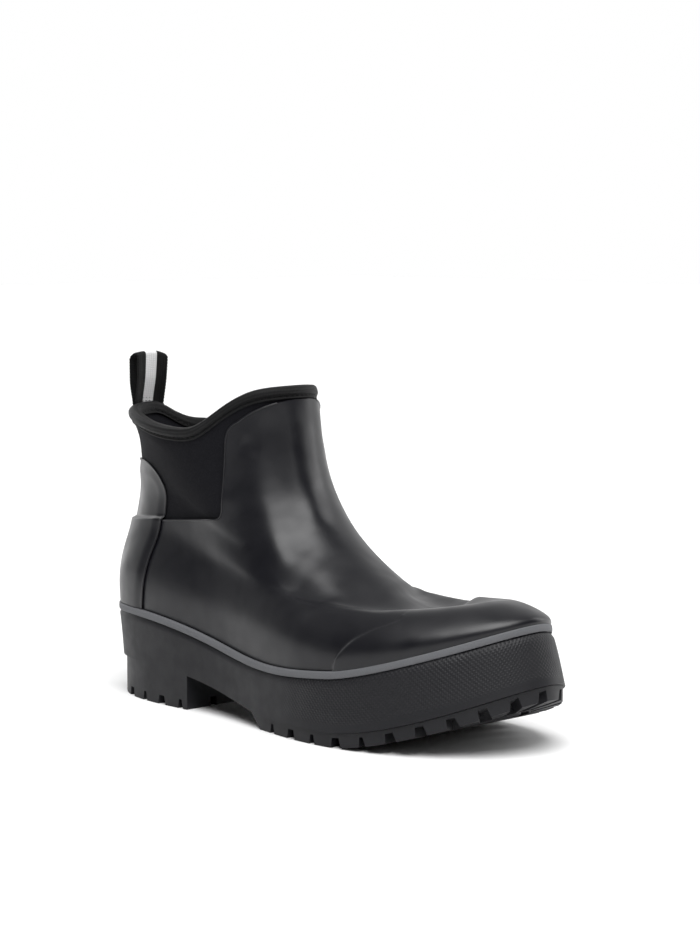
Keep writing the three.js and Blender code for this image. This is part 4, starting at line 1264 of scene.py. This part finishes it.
    def counter(self) -> None:
        """The heel counter: a moulded patch over the rubber's edge, with a lip round it."""
        turn = np.linspace(-self.counter_reach, self.counter_reach, 170)
        foot, top = self.counter_climbs
        outside = np.linspace(foot, top, 130)
        inside = np.linspace(top, foot, 40)
        faces = []
        for climbs, outer in ((outside, True), (inside, False)):
            grid_turn, grid_climb = np.meshgrid(turn, climbs, indexing="ij")
            bare = self.last.bare(grid_turn, grid_climb)
            off = self.counter_offset(bare) + (self.counter_proud(bare) if outer else 0.0)
            faces.append(self.last.creased(grid_turn, grid_climb, off))
        piece = self.bench.band("heel_counter", np.concatenate(faces, 1)[::-1])
        outline = [*self.counter_line(), (-self.last.length, 0.0)]
        self.bench.shape(piece, Boolean.KEEP, self.bench.side_slab(outline))
        self.bench.dress(piece, SHELL_RUBBER, "black_rubber", "counter", crisp=50)
        self.bench.ease(piece, self.counter_cut_ease, CUT_ANGLE)
        self.counter_lips()

    def counter_lips(self) -> None:
        """The thin raised lip along the counter's edge, on both sides."""
        low = self.last.strip_heights[0] + self.counter_lip_foot
        back = self.last.heel_x + self.counter_lip_back
        edge = [p for p in self.resampled(self.counter_line(), 1.0) if p[1] > low and p[0] > back]
        x, z = np.array(edge).T
        for side in Side:
            turns, climbs = self.last.find(x, z, side)
            off = self.counter_offset(self.last.bare(turns, climbs)) + self.counter_edge
            path, out = self.last.creased(turns, climbs, off), self.last.normal(turns, climbs)
            name = f"counter_lip_{side.name.lower()}"
            lip = self.bench.sweep(name, path, out, self.counter_lip_height, self.lip)
            self.bench.dress(lip, SHELL_RUBBER, "black_rubber")


@dataclass
class Lining:
    """The foam bootie inside the shell, and the loose insole in it."""

    bench: Bench
    insole_thickness: float = 4.0
    insole_ease: float = 1.2

    def bootie(self) -> None:
        """The bootie: one wall of foam that follows the shell's creases."""
        last = self.bench.last
        turn = last.turns(260)
        up = np.concatenate([[-1.0, -0.5], np.linspace(0, 1, 90)])
        rows = []
        for climbs, offset in ((up, last.bootie_out), (up[::-1], last.bootie_in)):
            grid_climb, grid_turn = np.meshgrid(climbs, turn, indexing="ij")
            rows.extend(last.creased(grid_turn, grid_climb, offset))
        piece = self.bench.ring("foam_bootie", rows)
        self.bench.dress(piece, FOAM_KNIT, "foam_knit", "bootie", crisp=60)

    def insole(self) -> None:
        """The insole: a plate with a rounded rim on the sole's bed."""
        last = self.bench.last
        turn = last.turns(200)
        rim = last.shell(turn, np.full(len(turn), -1.0), last.bootie_in - FIT_GAP)
        piece = self.bench.standing(rim, 0, last.collar_heights[2])
        piece.name = "insole_plate"
        slab = self.bench.slab_between(
            lambda x: last.bed_z(x) + FIT_GAP,
            lambda x: last.bed_z(x) + FIT_GAP + self.insole_thickness,
            last.heel_x - 2 * CLEAR,
            last.toe_x + 2 * CLEAR,
        )
        self.bench.shape(piece, Boolean.KEEP, slab)
        self.bench.dress(piece, INSOLE_CLOTH, "insole_foam", "insole")
        self.bench.ease(piece, self.insole_ease, 60.0, 3)


@dataclass
class Collar:
    """The binding round the collar with its stitches, and the pull loop at the back."""

    bench: Bench
    wall: float = 1.4
    stitch_drop: float = 1.5
    loop_width: float = 21.0
    webbing_width: float = 22.6
    loop_thickness: float = 1.3
    loop_height: float = 31.0
    loop_depth: float = 6.4
    loop_root: float = 4.5
    loop_lean: float = 2.0
    loop_twist: float = 2.1
    loop_aside: float = 1.0
    pocket_start: float = 1.1
    pocket_fade: float = 0.7
    stripe_share: float = 0.36
    selvedge_pitch: float = 1.7
    selvedge_depth: float = 0.02
    loop_stitch_heights: tuple[float, float] = (2.6, 4.4)
    loop_stitch_lift: float = 0.12
    binding_stitch: Stitch = Stitch(3.4, 2.3, 0.5)
    loop_stitch: Stitch = Stitch(2.4, 1.7, 0.45)

    def __post_init__(self) -> None:
        """Works out how far round the loop reaches."""
        self.last = self.bench.last
        around = 2 * math.pi * self.last.ball_width * RINGS[-1][2]
        self.loop_half_turn = self.loop_width / 2 / around
        self.webbing_half_turn = self.webbing_width / 2 / around
        self.aside_turn = self.loop_aside / around
        self.loop_inside = self.last.bootie_out + FIT_GAP
        self.loop_middle = self.loop_inside + self.loop_thickness

    def pocket(self, turn: Array) -> Array:
        """How far the binding has gone out round the loop's legs, from 0 to 1."""
        away = np.abs(turn - np.round(turn)) / self.loop_half_turn
        return 1 - smooth((away - self.pocket_start) / self.pocket_fade)

    def binding(self) -> None:
        """The tape folded over the edge, the thin hem under its roll and the stitches between them."""
        turn = self.last.turns(320)
        outside = self.last.bootie_out + FIT_GAP
        inside = self.last.bootie_in - FIT_GAP
        middle = (outside + inside) / 2
        wall = self.wall
        crown = wall + FIT_GAP
        drop = self.last.binding_drop
        swell = (2 * self.loop_thickness + FIT_GAP) * self.pocket(turn)
        sections = (
            (outside, drop, 1.0),
            (outside + 0.4 * wall, drop, 1.0),
            (outside + 0.55 * wall, drop - 0.3, 1.0),
            (outside + 0.5 * wall, drop - 0.8, 1.0),
            (outside + 0.16 * wall, drop - 1.1, 1.0),
            (outside + 0.12 * wall, drop - 1.8, 1.0),
            (outside + 0.3 * wall, drop - 2.1, 1.0),
            (outside + 0.8 * wall, drop - 2.4, 1.0),
            (outside + 1.04 * wall, drop - 3.1, 1.0),
            (outside + 1.08 * wall, drop - 3.9, 1.0),
            (outside + wall, drop - 4.7, 1.0),
            (outside + 0.8 * wall, -0.15 * crown, 0.95),
            (outside + 0.45 * wall, -0.62 * crown, 0.85),
            (outside - 0.1 * wall, -0.9 * crown, 0.7),
            (middle, -crown, 0.5),
            (inside + 0.1 * wall, -0.9 * crown, 0.25),
            (inside - 0.45 * wall, -0.62 * crown, 0.0),
            (inside - 0.8 * wall, -0.15 * crown, 0.0),
            (inside - wall, drop - 4.5, 0.0),
            (inside - wall, drop - 2.8, 0.0),
            (inside - 0.7 * wall, drop - 1.6, 0.0),
            (inside - 0.6 * wall, drop, 0.0),
            (inside, drop, 0.0),
            (inside, -FIT_GAP, 0.0),
            (outside, -FIT_GAP, 0.0),
        )
        rows = [self.last.by_collar(turn, out + swell * share, down) for out, down, share in sections]
        run = run_along(rows[0])
        places = [np.stack([run, np.full(len(run), 0.7 * k)], -1) for k in range(len(rows))]
        piece = self.bench.ring("collar_binding", rows, np.array(places))
        self.bench.dress(piece, BINDING_TAPE, "binding_tape", "binding", crisp=70)
        for name, out, side in (("outer", outside + 0.2 * wall, 1), ("inner", inside - 0.68 * wall, -1)):
            path = self.last.by_collar(turn, out + swell * max(side, 0), drop - self.stitch_drop)
            way = self.last.normal(turn, np.full(len(turn), 0.97)) * side
            row = self.bench.stitches(f"binding_stitches_{name}", path, way, self.binding_stitch)
            self.bench.dress(row, THREAD, "binding_tape", crisp=60)

    def loop_path(self) -> Array:
        """The webbing's middle line, as (out from the shell, height over the collar's edge)."""
        full_share = 0.55
        deep = self.loop_depth / 2
        crown = self.loop_height - deep
        thin = self.loop_thickness
        heights = np.linspace(0, crown, 40)
        spread = mix(thin, deep, smooth(heights / (self.loop_height * full_share))) - thin / 2
        lean = -self.loop_lean * smooth(heights / self.loop_height)
        rear = np.stack([self.loop_middle + lean + spread, heights], -1)
        front = np.stack([self.loop_middle + lean - spread, heights], -1)[::-1]
        angle = np.linspace(0, math.pi, 26)[1:-1]
        top = crown + (deep - thin / 2) * np.sin(angle)
        lean = -self.loop_lean * smooth(top / self.loop_height)
        arc = np.stack([self.loop_middle + lean + (deep - thin / 2) * np.cos(angle), top], -1)
        root = np.linspace(-self.loop_root, 0, 8)[:-1]
        rear_root = np.stack([np.full(len(root), rear[0, 0]), root], -1)
        front_root = np.stack([np.full(len(root), front[-1, 0]), root[::-1]], -1)
        return np.concatenate([rear_root, rear, arc, front, front_root])

    def pull_loop(self) -> None:
        """The webbing folded into a drop shape, with its pale stripe and the stitches across its legs."""
        points_by_scallop = 6
        bends = self.loop_path()
        far = run_along(bends)
        run = np.linspace(0, far[-1], int(far[-1] / self.selvedge_pitch * points_by_scallop))
        path = np.stack([np.interp(run, far, bends[:, c]) for c in range(2)], -1)
        way = unit(np.gradient(path, axis=0))
        across = np.stack([way[:, 1], -way[:, 0]], -1)
        half = self.loop_thickness / 2
        rounded, thinnest = 0.06, 0.12
        selvedge = 0.15
        share = np.linspace(-1, 1, 19)
        beyond = np.maximum(np.abs(share) - (1 - rounded), 0)
        edge = half * np.sqrt(np.clip(1 - beyond**2 / rounded**2, thinnest, 1))
        section = [(u, h) for u, h in zip(share, edge, strict=True)]
        section += [(u, -h) for u, h in zip(share[::-1], edge[::-1], strict=True)]
        scallop = self.selvedge_depth * np.sin(2 * math.pi * run / self.selvedge_pitch)
        risen = smooth(path[:, 1] / self.loop_height)
        grid, places = [], []
        for u, h in section:
            line = path + across * h
            wide = u * (1 + scallop * smooth((abs(u) - (1 - selvedge)) / selvedge))
            out = line[:, 0] + wide * self.loop_twist * risen
            turn = wide * self.webbing_half_turn + self.aside_turn
            grid.append(self.last.by_collar(turn, out, -line[:, 1]))
            places.append(np.stack([run, np.full(len(run), (u + 1) / 2 * self.webbing_width)], -1))
        grid = np.array(grid).transpose(1, 0, 2)
        piece = self.bench.band("loop_webbing", grid, np.array(places).transpose(1, 0, 2))
        edge_share = (1 - self.stripe_share) / 2
        webbing = WovenTape(
            "polyester_webbing_woven",
            "#0f0f10",
            0.7,
            sheen=0.03,
            specular=0.2,
            light="#171718",
            rib_mm=1.0,
            stripe="#f6f6f6",
            stripe_from=edge_share * self.webbing_width,
            stripe_to=(1 - edge_share) * self.webbing_width,
        )
        self.bench.dress(piece, webbing, "webbing", "pull_loop", crisp=60)
        sewn = 0.92
        turn = np.linspace(-sewn, sewn, 30) * self.webbing_half_turn + self.aside_turn
        out = self.loop_middle - self.loop_thickness - self.loop_stitch_lift
        inward = -self.last.flat_normal(turn)
        for number, height in enumerate(self.loop_stitch_heights):
            line = self.last.by_collar(turn, out, -height)
            row = self.bench.stitches(f"loop_stitches_{number}", line, inward, self.loop_stitch)
            self.bench.dress(row, THREAD, "webbing", crisp=60)


@dataclass(frozen=True)
class LugRow:
    """How the gaps between the lugs follow each other along a rim, from either end to its middle."""

    inset: float
    pitch: float
    closing: float = 0.0

    def runs(self, whole: float) -> list[tuple[float, bool]]:
        """Where the gaps lie along a rim.

        Args:
            whole: The rim's length.

        Returns:
            How far along it each gap lies, and whether it is a wide one.
        """
        least_lug = self.pitch * 0.6
        half = []
        for k in range(int(whole / self.pitch)):
            run = self.inset + self.pitch * k - self.closing * k * k
            if run <= whole / 2:
                half.append((run, k % 2 == 1))
        back = [(whole - run, wide) for run, wide in reversed(half) if whole - 2 * run > least_lug]
        return half + back


@dataclass
class Sole:
    """The sole unit: the grey strip, the cupped wall, the lugged tread and the heel block."""

    bench: Bench
    tread_step: float = 1.2
    heel_step: float = 2.4
    heel_step_length: float = 45.0
    heel_sunk: float = 0.4
    tread_lugs: LugRow = LugRow(14.2, 17.3, 0.1)
    heel_lugs: LugRow = LugRow(5.8, 16.2)
    gap_wide: float = 4.4
    gap_narrow: float = 2.0
    gap_flare: float = 1.0
    gap_height: float = 5.0
    lug_length: float = 17.0
    toe_lugs_length: float = 45.0
    cleat_pitch: float = 16.0
    lip_inset: float = 0.9
    lip_share: float = 0.08
    block_top: float = 80.0
    wall_ease: float = 0.3
    tread_ease: float = 0.3
    heel_ease: float = 0.35
    around: int = 300

    def __post_init__(self) -> None:
        """Keeps the last at hand."""
        self.last = self.bench.last

    def strip(self) -> None:
        """The grey strip, with eased edges."""
        turn = self.last.turns(self.around)
        outside = FIT_GAP + self.last.strip_depth
        high = self.last.strip_height
        top = FIT_GAP / 2
        profile = (
            (outside - 0.5, high),
            (outside - 0.12, high - 0.15),
            (outside, high - 0.5),
            (outside + 0.1, (high + top) / 2),
            (outside, top + 0.6),
            (outside - 0.15, top + 0.2),
            (outside - 0.6, top),
            (FIT_GAP, top),
            (FIT_GAP, high),
        )
        rows = [self.last.by_strip(turn, out, down) for out, down in profile]
        piece = self.bench.ring("strip_band", rows)
        self.bench.dress(piece, STRIP_RUBBER, "grey_rubber", "strip", crisp=75)

    def slab(self, low: Callable, high: Callable) -> bpy.types.Object:
        """A slab between two lines of heights, longer than the sole at both ends."""
        return self.bench.slab_between(low, high, self.last.heel_x - 2 * CLEAR, self.last.toe_x + 2 * CLEAR)

    def wall(self) -> None:
        """The cupped wall, with a cavity for the upper, closed below by a bed."""
        last = self.last
        turn = last.turns(self.around)
        below = -last.bed_thickness
        inner_foot = last.shell(turn, np.full(len(turn), -1.0), FIT_GAP)
        rows, heights = [], []
        for drop in (*np.linspace(1, self.lip_share, 14), 0.03, 0.0):
            inset = self.lip_inset * (1 - smooth(drop / self.lip_share))
            rows.append(last.sole_wall(turn, drop, inset))
            heights.append(1 - drop)
        tall = np.linalg.norm(rows[-1] - rows[0], axis=1)
        rows.append(last.by_strip(turn, FIT_GAP, last.strip_height + FIT_GAP))
        rows.append(inner_foot)
        rows.append(inner_foot * [1, 1, 0] + UP * below)
        rows.append(rows[0] * [1, 1, 0] + UP * below)
        run = run_along(rows[0])
        share = np.array([*heights, 1.0, 0.0, 0.0, 0.0])
        places = np.stack([np.broadcast_to(run, (len(rows), len(run))), share[:, None] * tall], -1)
        piece = self.bench.ring("sole_wall", rows, places)
        middle = last.shell(turn, np.full(len(turn), -1.0), FIT_GAP + last.strip_depth)
        bed = self.bench.standing(middle, below, last.collar_heights[2])
        self.bench.shape(bed, Boolean.KEEP, self.slab(lambda x: 2 * below, last.bed_z))
        self.bench.shape(piece, Boolean.JOIN, bed)
        self.bench.shape(piece, Boolean.CUT, self.slab(lambda x: 4 * below, last.seam_z))
        self.bench.dress(piece, WALL_RUBBER, "sole_rubber", "midsole", crisp=50)
        self.bench.ease(piece, self.wall_ease, CUT_ANGLE)

    def rim(self, step: float, back_step: float = 0.0) -> Callable[[Array, float], Array]:
        """The tread's outline as a function of the turn and an inset, stepped in from the wall."""

        def outline(turn: Array, inset: float) -> Array:
            """The outline's points at some turns."""
            x = self.last.bare(turn, np.zeros_like(turn))[..., 0]
            backward = smooth((self.last.heel_x + self.heel_step_length - x) / self.heel_step_length)
            return self.last.sole_wall(turn, 1.0, step + back_step * backward + inset)

        return outline

    def groove(self, place: Array, outward: Array, width: float, reach: float) -> bpy.types.Object:
        """A block that cuts a groove, wider at its mouth, from the rim inwards."""
        x = float(place[0])
        tilt = float(self.last.spring_z(x + 1) - self.last.spring_z(x - 1)) / 2
        up = unit(np.array([-tilt, 0.0, 1.0]))
        out = unit(outward - up * (outward @ up))
        across = np.cross(up, out)
        half = width / 2
        mouth = half + 2 * self.gap_flare
        ends = []
        for depth in (-reach, self.lug_length):
            for side, level in ((-mouth, -1), (mouth, -1), (half, 1), (-half, 1)):
                ends.append(place + out * depth + across * side + up * level * self.gap_height)
        return self.bench.prism(np.array(ends[:4]), np.array(ends[4:]))

    def gaps(self, rim: Callable, start: float, end: float, lugs: LugRow) -> list[bpy.types.Object]:
        """The blocks that cut the gaps between the lugs on a tread's rim."""
        samples = rim(np.linspace(start, end, 2000), 0.0)
        run = run_along(samples * [1, 1, 0])
        blocks = []
        for at, wide in lugs.runs(float(run[-1])):
            i = int(np.searchsorted(run, at))
            way = samples[i] - samples[i - 1]
            place = samples[i] * [1, 1, 0] + UP * float(self.last.spring_z(samples[i][0]))
            by_toe = place[0] > self.last.toe_x - self.toe_lugs_length
            outward = unit(np.array([way[1], -way[0], 0.0]))
            width = self.gap_wide if wide or by_toe else self.gap_narrow
            blocks.append(self.groove(place, outward, width, self.lug_length))
        return blocks

    def cut_tread(
        self,
        piece: bpy.types.Object,
        rim: Callable,
        blocks: Sequence[bpy.types.Object],
        reach: tuple[float, float],
    ) -> None:
        """Cuts the channel, the lug gaps and the cleats into a tread.

        Args:
            piece: The tread's block.
            rim: Its outline by turn and inset.
            blocks: What cuts the lug gaps.
            reach: Its least and its greatest x.
        """
        bench = self.bench
        turn = self.last.turns(self.around)
        top = self.last.collar_heights[2]
        channel = bench.standing(rim(turn, self.lug_length), -2 * CLEAR, top)
        island = bench.standing(rim(turn, self.lug_length + self.gap_wide), -3 * CLEAR, top + CLEAR)
        bench.shape(channel, Boolean.CUT, island)
        spring, gap = self.last.spring_z, self.gap_height
        band = self.slab(lambda x: spring(x) - gap, lambda x: spring(x) + gap)
        bench.shape(channel, Boolean.KEEP, band)
        bench.shape(piece, Boolean.CUT, channel)
        for block in blocks:
            bench.shape(piece, Boolean.CUT, block)
        first, last = reach[0] + self.lug_length, reach[1] - self.lug_length
        count = round((last - first) / self.cleat_pitch)
        for k in range(1, count):
            x = first + (last - first) * k / count
            place = np.array([x, self.last.ball_width, float(self.last.spring_z(x))])
            bar = self.groove(place, np.array([0.0, 1.0, 0.0]), self.gap_narrow, 2 * self.last.ball_width)
            inner = bench.standing(rim(turn, self.lug_length), -2 * CLEAR, top)
            bench.shape(bar, Boolean.KEEP, inner)
            bench.shape(piece, Boolean.CUT, bar)

    def turn_at(self, x: float, side: Side) -> float:
        """The turn at which the foot of the wall passes an x on one side."""
        turns = np.linspace(*side.value, 3000)
        places = self.last.sole_wall(turns, 1.0)[:, 0]
        order = np.argsort(places)
        return float(np.interp(x, places[order], turns[order]))

    def outsole(self) -> None:
        """The lugged tread under the forefoot and the toe."""
        last = self.last
        rim = self.rim(self.tread_step)
        far = last.toe_x + 2 * CLEAR
        first = last.tread_x + last.tread_height / 3
        bottom = np.linspace(first, far, 90)
        top = np.linspace(far, last.tread_x - last.tread_height, 90)
        outline: Outline = [(float(x), float(last.spring_z(x))) for x in bottom]
        outline += [(float(x), float(last.seam_z(x)) - FIT_GAP) for x in top]
        outline += bent(outline[-1], (last.tread_x - 1, last.tread_height / 3), (first, 0.0), 12)[:-1]
        piece = self.bench.standing(rim(last.turns(self.around), 0.0), -CLEAR, self.block_top)
        piece.name = "forefoot_tread"
        self.bench.shape(piece, Boolean.KEEP, self.bench.side_slab(outline))
        start, end = (self.turn_at(last.tread_x, side) for side in Side)
        blocks = self.gaps(rim, start, end, self.tread_lugs)
        self.cut_tread(piece, rim, blocks, (last.tread_x, last.toe_x))
        self.bench.dress(piece, WALL_RUBBER, "sole_rubber", "outsole", crisp=32)
        self.bench.ease(piece, self.tread_ease, LUG_ANGLE)

    def heel(self) -> None:
        """The heel block, stepped in at its back, with lugs round it."""
        last = self.last
        rim = self.rim(0.0, self.heel_step)
        piece = self.bench.standing(rim(last.turns(self.around), 0.0), -CLEAR, self.block_top)
        piece.name = "heel_block"
        side = self.bench.slab_between(
            lambda x: 0 * x,
            lambda x: last.seam_z(x) + self.heel_sunk,
            last.heel_x - 2 * CLEAR,
            last.breast_x,
        )
        self.bench.shape(piece, Boolean.KEEP, side)
        start = self.turn_at(last.breast_x, Side.INNER) - 1
        end = self.turn_at(last.breast_x, Side.OUTER)
        blocks = self.gaps(rim, start, end, self.heel_lugs)
        self.cut_tread(piece, rim, blocks, (last.heel_x, last.breast_x))
        self.bench.dress(piece, WALL_RUBBER, "sole_rubber", "heel", crisp=32)
        self.bench.ease(piece, self.heel_ease, LUG_ANGLE)


@dataclass(frozen=True)
class SoftBox:
    """A soft studio light: where it hangs, what it looks at and how large and strong it is."""

    name: str
    place: tuple[float, float, float]
    aim: tuple[float, float, float]
    size: tuple[float, float]
    watts: float

    def hang(self) -> None:
        """Makes the light."""
        data = bpy.data.lights.new(self.name, "AREA")
        data.shape = "RECTANGLE"
        data.size, data.size_y = self.size
        data.energy = self.watts
        light = bpy.data.objects.new(self.name, data)
        light.location = self.place
        light.rotation_euler = (Vector(self.aim) - Vector(self.place)).to_track_quat("-Z", "Y").to_euler()
        bpy.context.scene.collection.objects.link(light)


@dataclass
class Studio:
    """The camera, the soft lights, the white room and its floor."""

    last: Last
    azimuth: float = 45.4
    elevation: float = 5.75
    distance_mm: float = 1400.0
    focal_px: float = 2618.0
    target_mm: tuple[float, float, float] = (0.0, 0.0, 75.0)
    target_px: tuple[float, float] = (328.0, 578.0)
    sensor_mm: float = 36.0
    floor_reach: float = 6.0
    room_behind: float = 1.0
    room_before: float = 0.04
    room_side: float = -0.1
    sun_strength: float = 3.8
    sun_degrees: float = 50.0
    sun_tilt: float = 24.0
    lights: tuple[SoftBox, ...] = (
        SoftBox("left_edge", (-1.3, 0.2, 0.5), (-0.1, 0.0, 0.1), (0.3, 1.2), 2.0),
        SoftBox("right_edge", (0.5, 1.3, 0.7), (0.0, 0.0, 0.1), (0.4, 1.2), 6.0),
        SoftBox("front_right", (1.2, -0.5, 0.9), (0.0, 0.0, 0.1), (0.1, 0.9), 2.0),
    )

    def ways(self) -> tuple[Vector, Vector, Vector]:
        """The camera's right, up and back directions."""
        a, e = math.radians(self.azimuth), math.radians(self.elevation)
        back = Vector((math.sin(a) * math.cos(e), -math.cos(a) * math.cos(e), math.sin(e)))
        right = Vector((math.cos(a), math.sin(a), 0.0))
        return right, back.cross(right), back

    def camera(self) -> None:
        """The camera at the photograph's angle and distance."""
        right, up, back = self.ways()
        px_x, px_y = self.target_px
        scale = self.distance_mm / self.focal_px
        aside = (px_x - PHOTO_WIDTH / 2) * scale
        above = -(px_y - PHOTO_HEIGHT / 2) * scale
        target = Vector(self.target_mm) + Vector(self.last.shift)
        eye = target - right * aside - up * above + back * self.distance_mm
        data = bpy.data.cameras.new("camera")
        data.sensor_fit = "VERTICAL"
        data.sensor_width = data.sensor_height = self.sensor_mm
        data.lens = self.focal_px * self.sensor_mm / PHOTO_HEIGHT
        data.clip_start, data.clip_end = 0.01, 50.0
        camera = bpy.data.objects.new("camera", data)
        turn = Matrix((right, up, back)).transposed().to_4x4()
        camera.matrix_world = Matrix.Translation(eye * MM) @ turn
        bpy.context.scene.collection.objects.link(camera)
        bpy.context.scene.camera = camera

    def floor(self) -> None:
        """The white paper floor."""
        reach = self.floor_reach
        data = bpy.data.meshes.new("floor")
        square = [(-reach, -reach, 0), (reach, -reach, 0), (reach, reach, 0), (-reach, reach, 0)]
        data.from_pydata(square, [], [(0, 1, 2, 3)])
        data.materials.append(STUDIO_PAPER.material())
        floor = bpy.data.objects.new("floor", data)
        bpy.context.scene.collection.objects.link(floor)

    def lamps(self) -> None:
        """The soft boxes, and one wide light from above that leans back over the boot."""
        for light in self.lights:
            light.hang()
        data = bpy.data.lights.new("overhead", "SUN")
        data.energy = self.sun_strength
        data.angle = math.radians(self.sun_degrees)
        overhead = bpy.data.objects.new("overhead", data)
        right = self.ways()[0]
        overhead.rotation_euler = Matrix.Rotation(math.radians(self.sun_tilt), 4, right).to_euler()
        bpy.context.scene.collection.objects.link(overhead)

    def room(self) -> None:
        """The room's walls, bright behind the boot and dark behind the camera."""
        world = bpy.data.worlds.new("room")
        bpy.context.scene.world = world
        world.use_nodes = True
        tree = world.node_tree
        tree.nodes.clear()
        way = add_node(tree, "ShaderNodeTexCoord").outputs["Generated"]
        ahead = tuple(-self.ways()[2])
        share = add_node(tree, "ShaderNodeVectorMath", {"operation": "DOT_PRODUCT"}, i0=way, i1=ahead)
        bright = add_node(
            tree,
            "ShaderNodeMapRange",
            {"interpolation_type": "SMOOTHSTEP"},
            i0=share.outputs["Value"],
            i1=self.room_side,
            i2=1.0,
            i3=self.room_before,
            i4=self.room_behind,
        )
        walls = add_node(tree, "ShaderNodeBackground", Color=(1, 1, 1, 1), Strength=bright.outputs[0])
        add_node(tree, "ShaderNodeOutputWorld", Surface=walls.outputs[0])
        bpy.context.scene.view_settings.view_transform = "Standard"


def main() -> None:
    logging.basicConfig(level=logging.INFO, format="%(message)s")
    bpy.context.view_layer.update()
    last = Last()
    log.info("the boot stands %.3f, %.3f mm from its own middle", *last.shift[:2])
    studio = Studio(last)
    studio.camera()
    studio.floor()
    studio.lamps()
    studio.room()
    bench = Bench(last)
    shell = Shell(bench)
    shell.upper()
    shell.window_lips()
    shell.counter()
    lining = Lining(bench)
    lining.bootie()
    lining.insole()
    collar = Collar(bench)
    collar.binding()
    collar.pull_loop()
    sole = Sole(bench)
    sole.strip()
    sole.wall()
    sole.outsole()
    sole.heel()


if __name__ == "__main__":
    main()
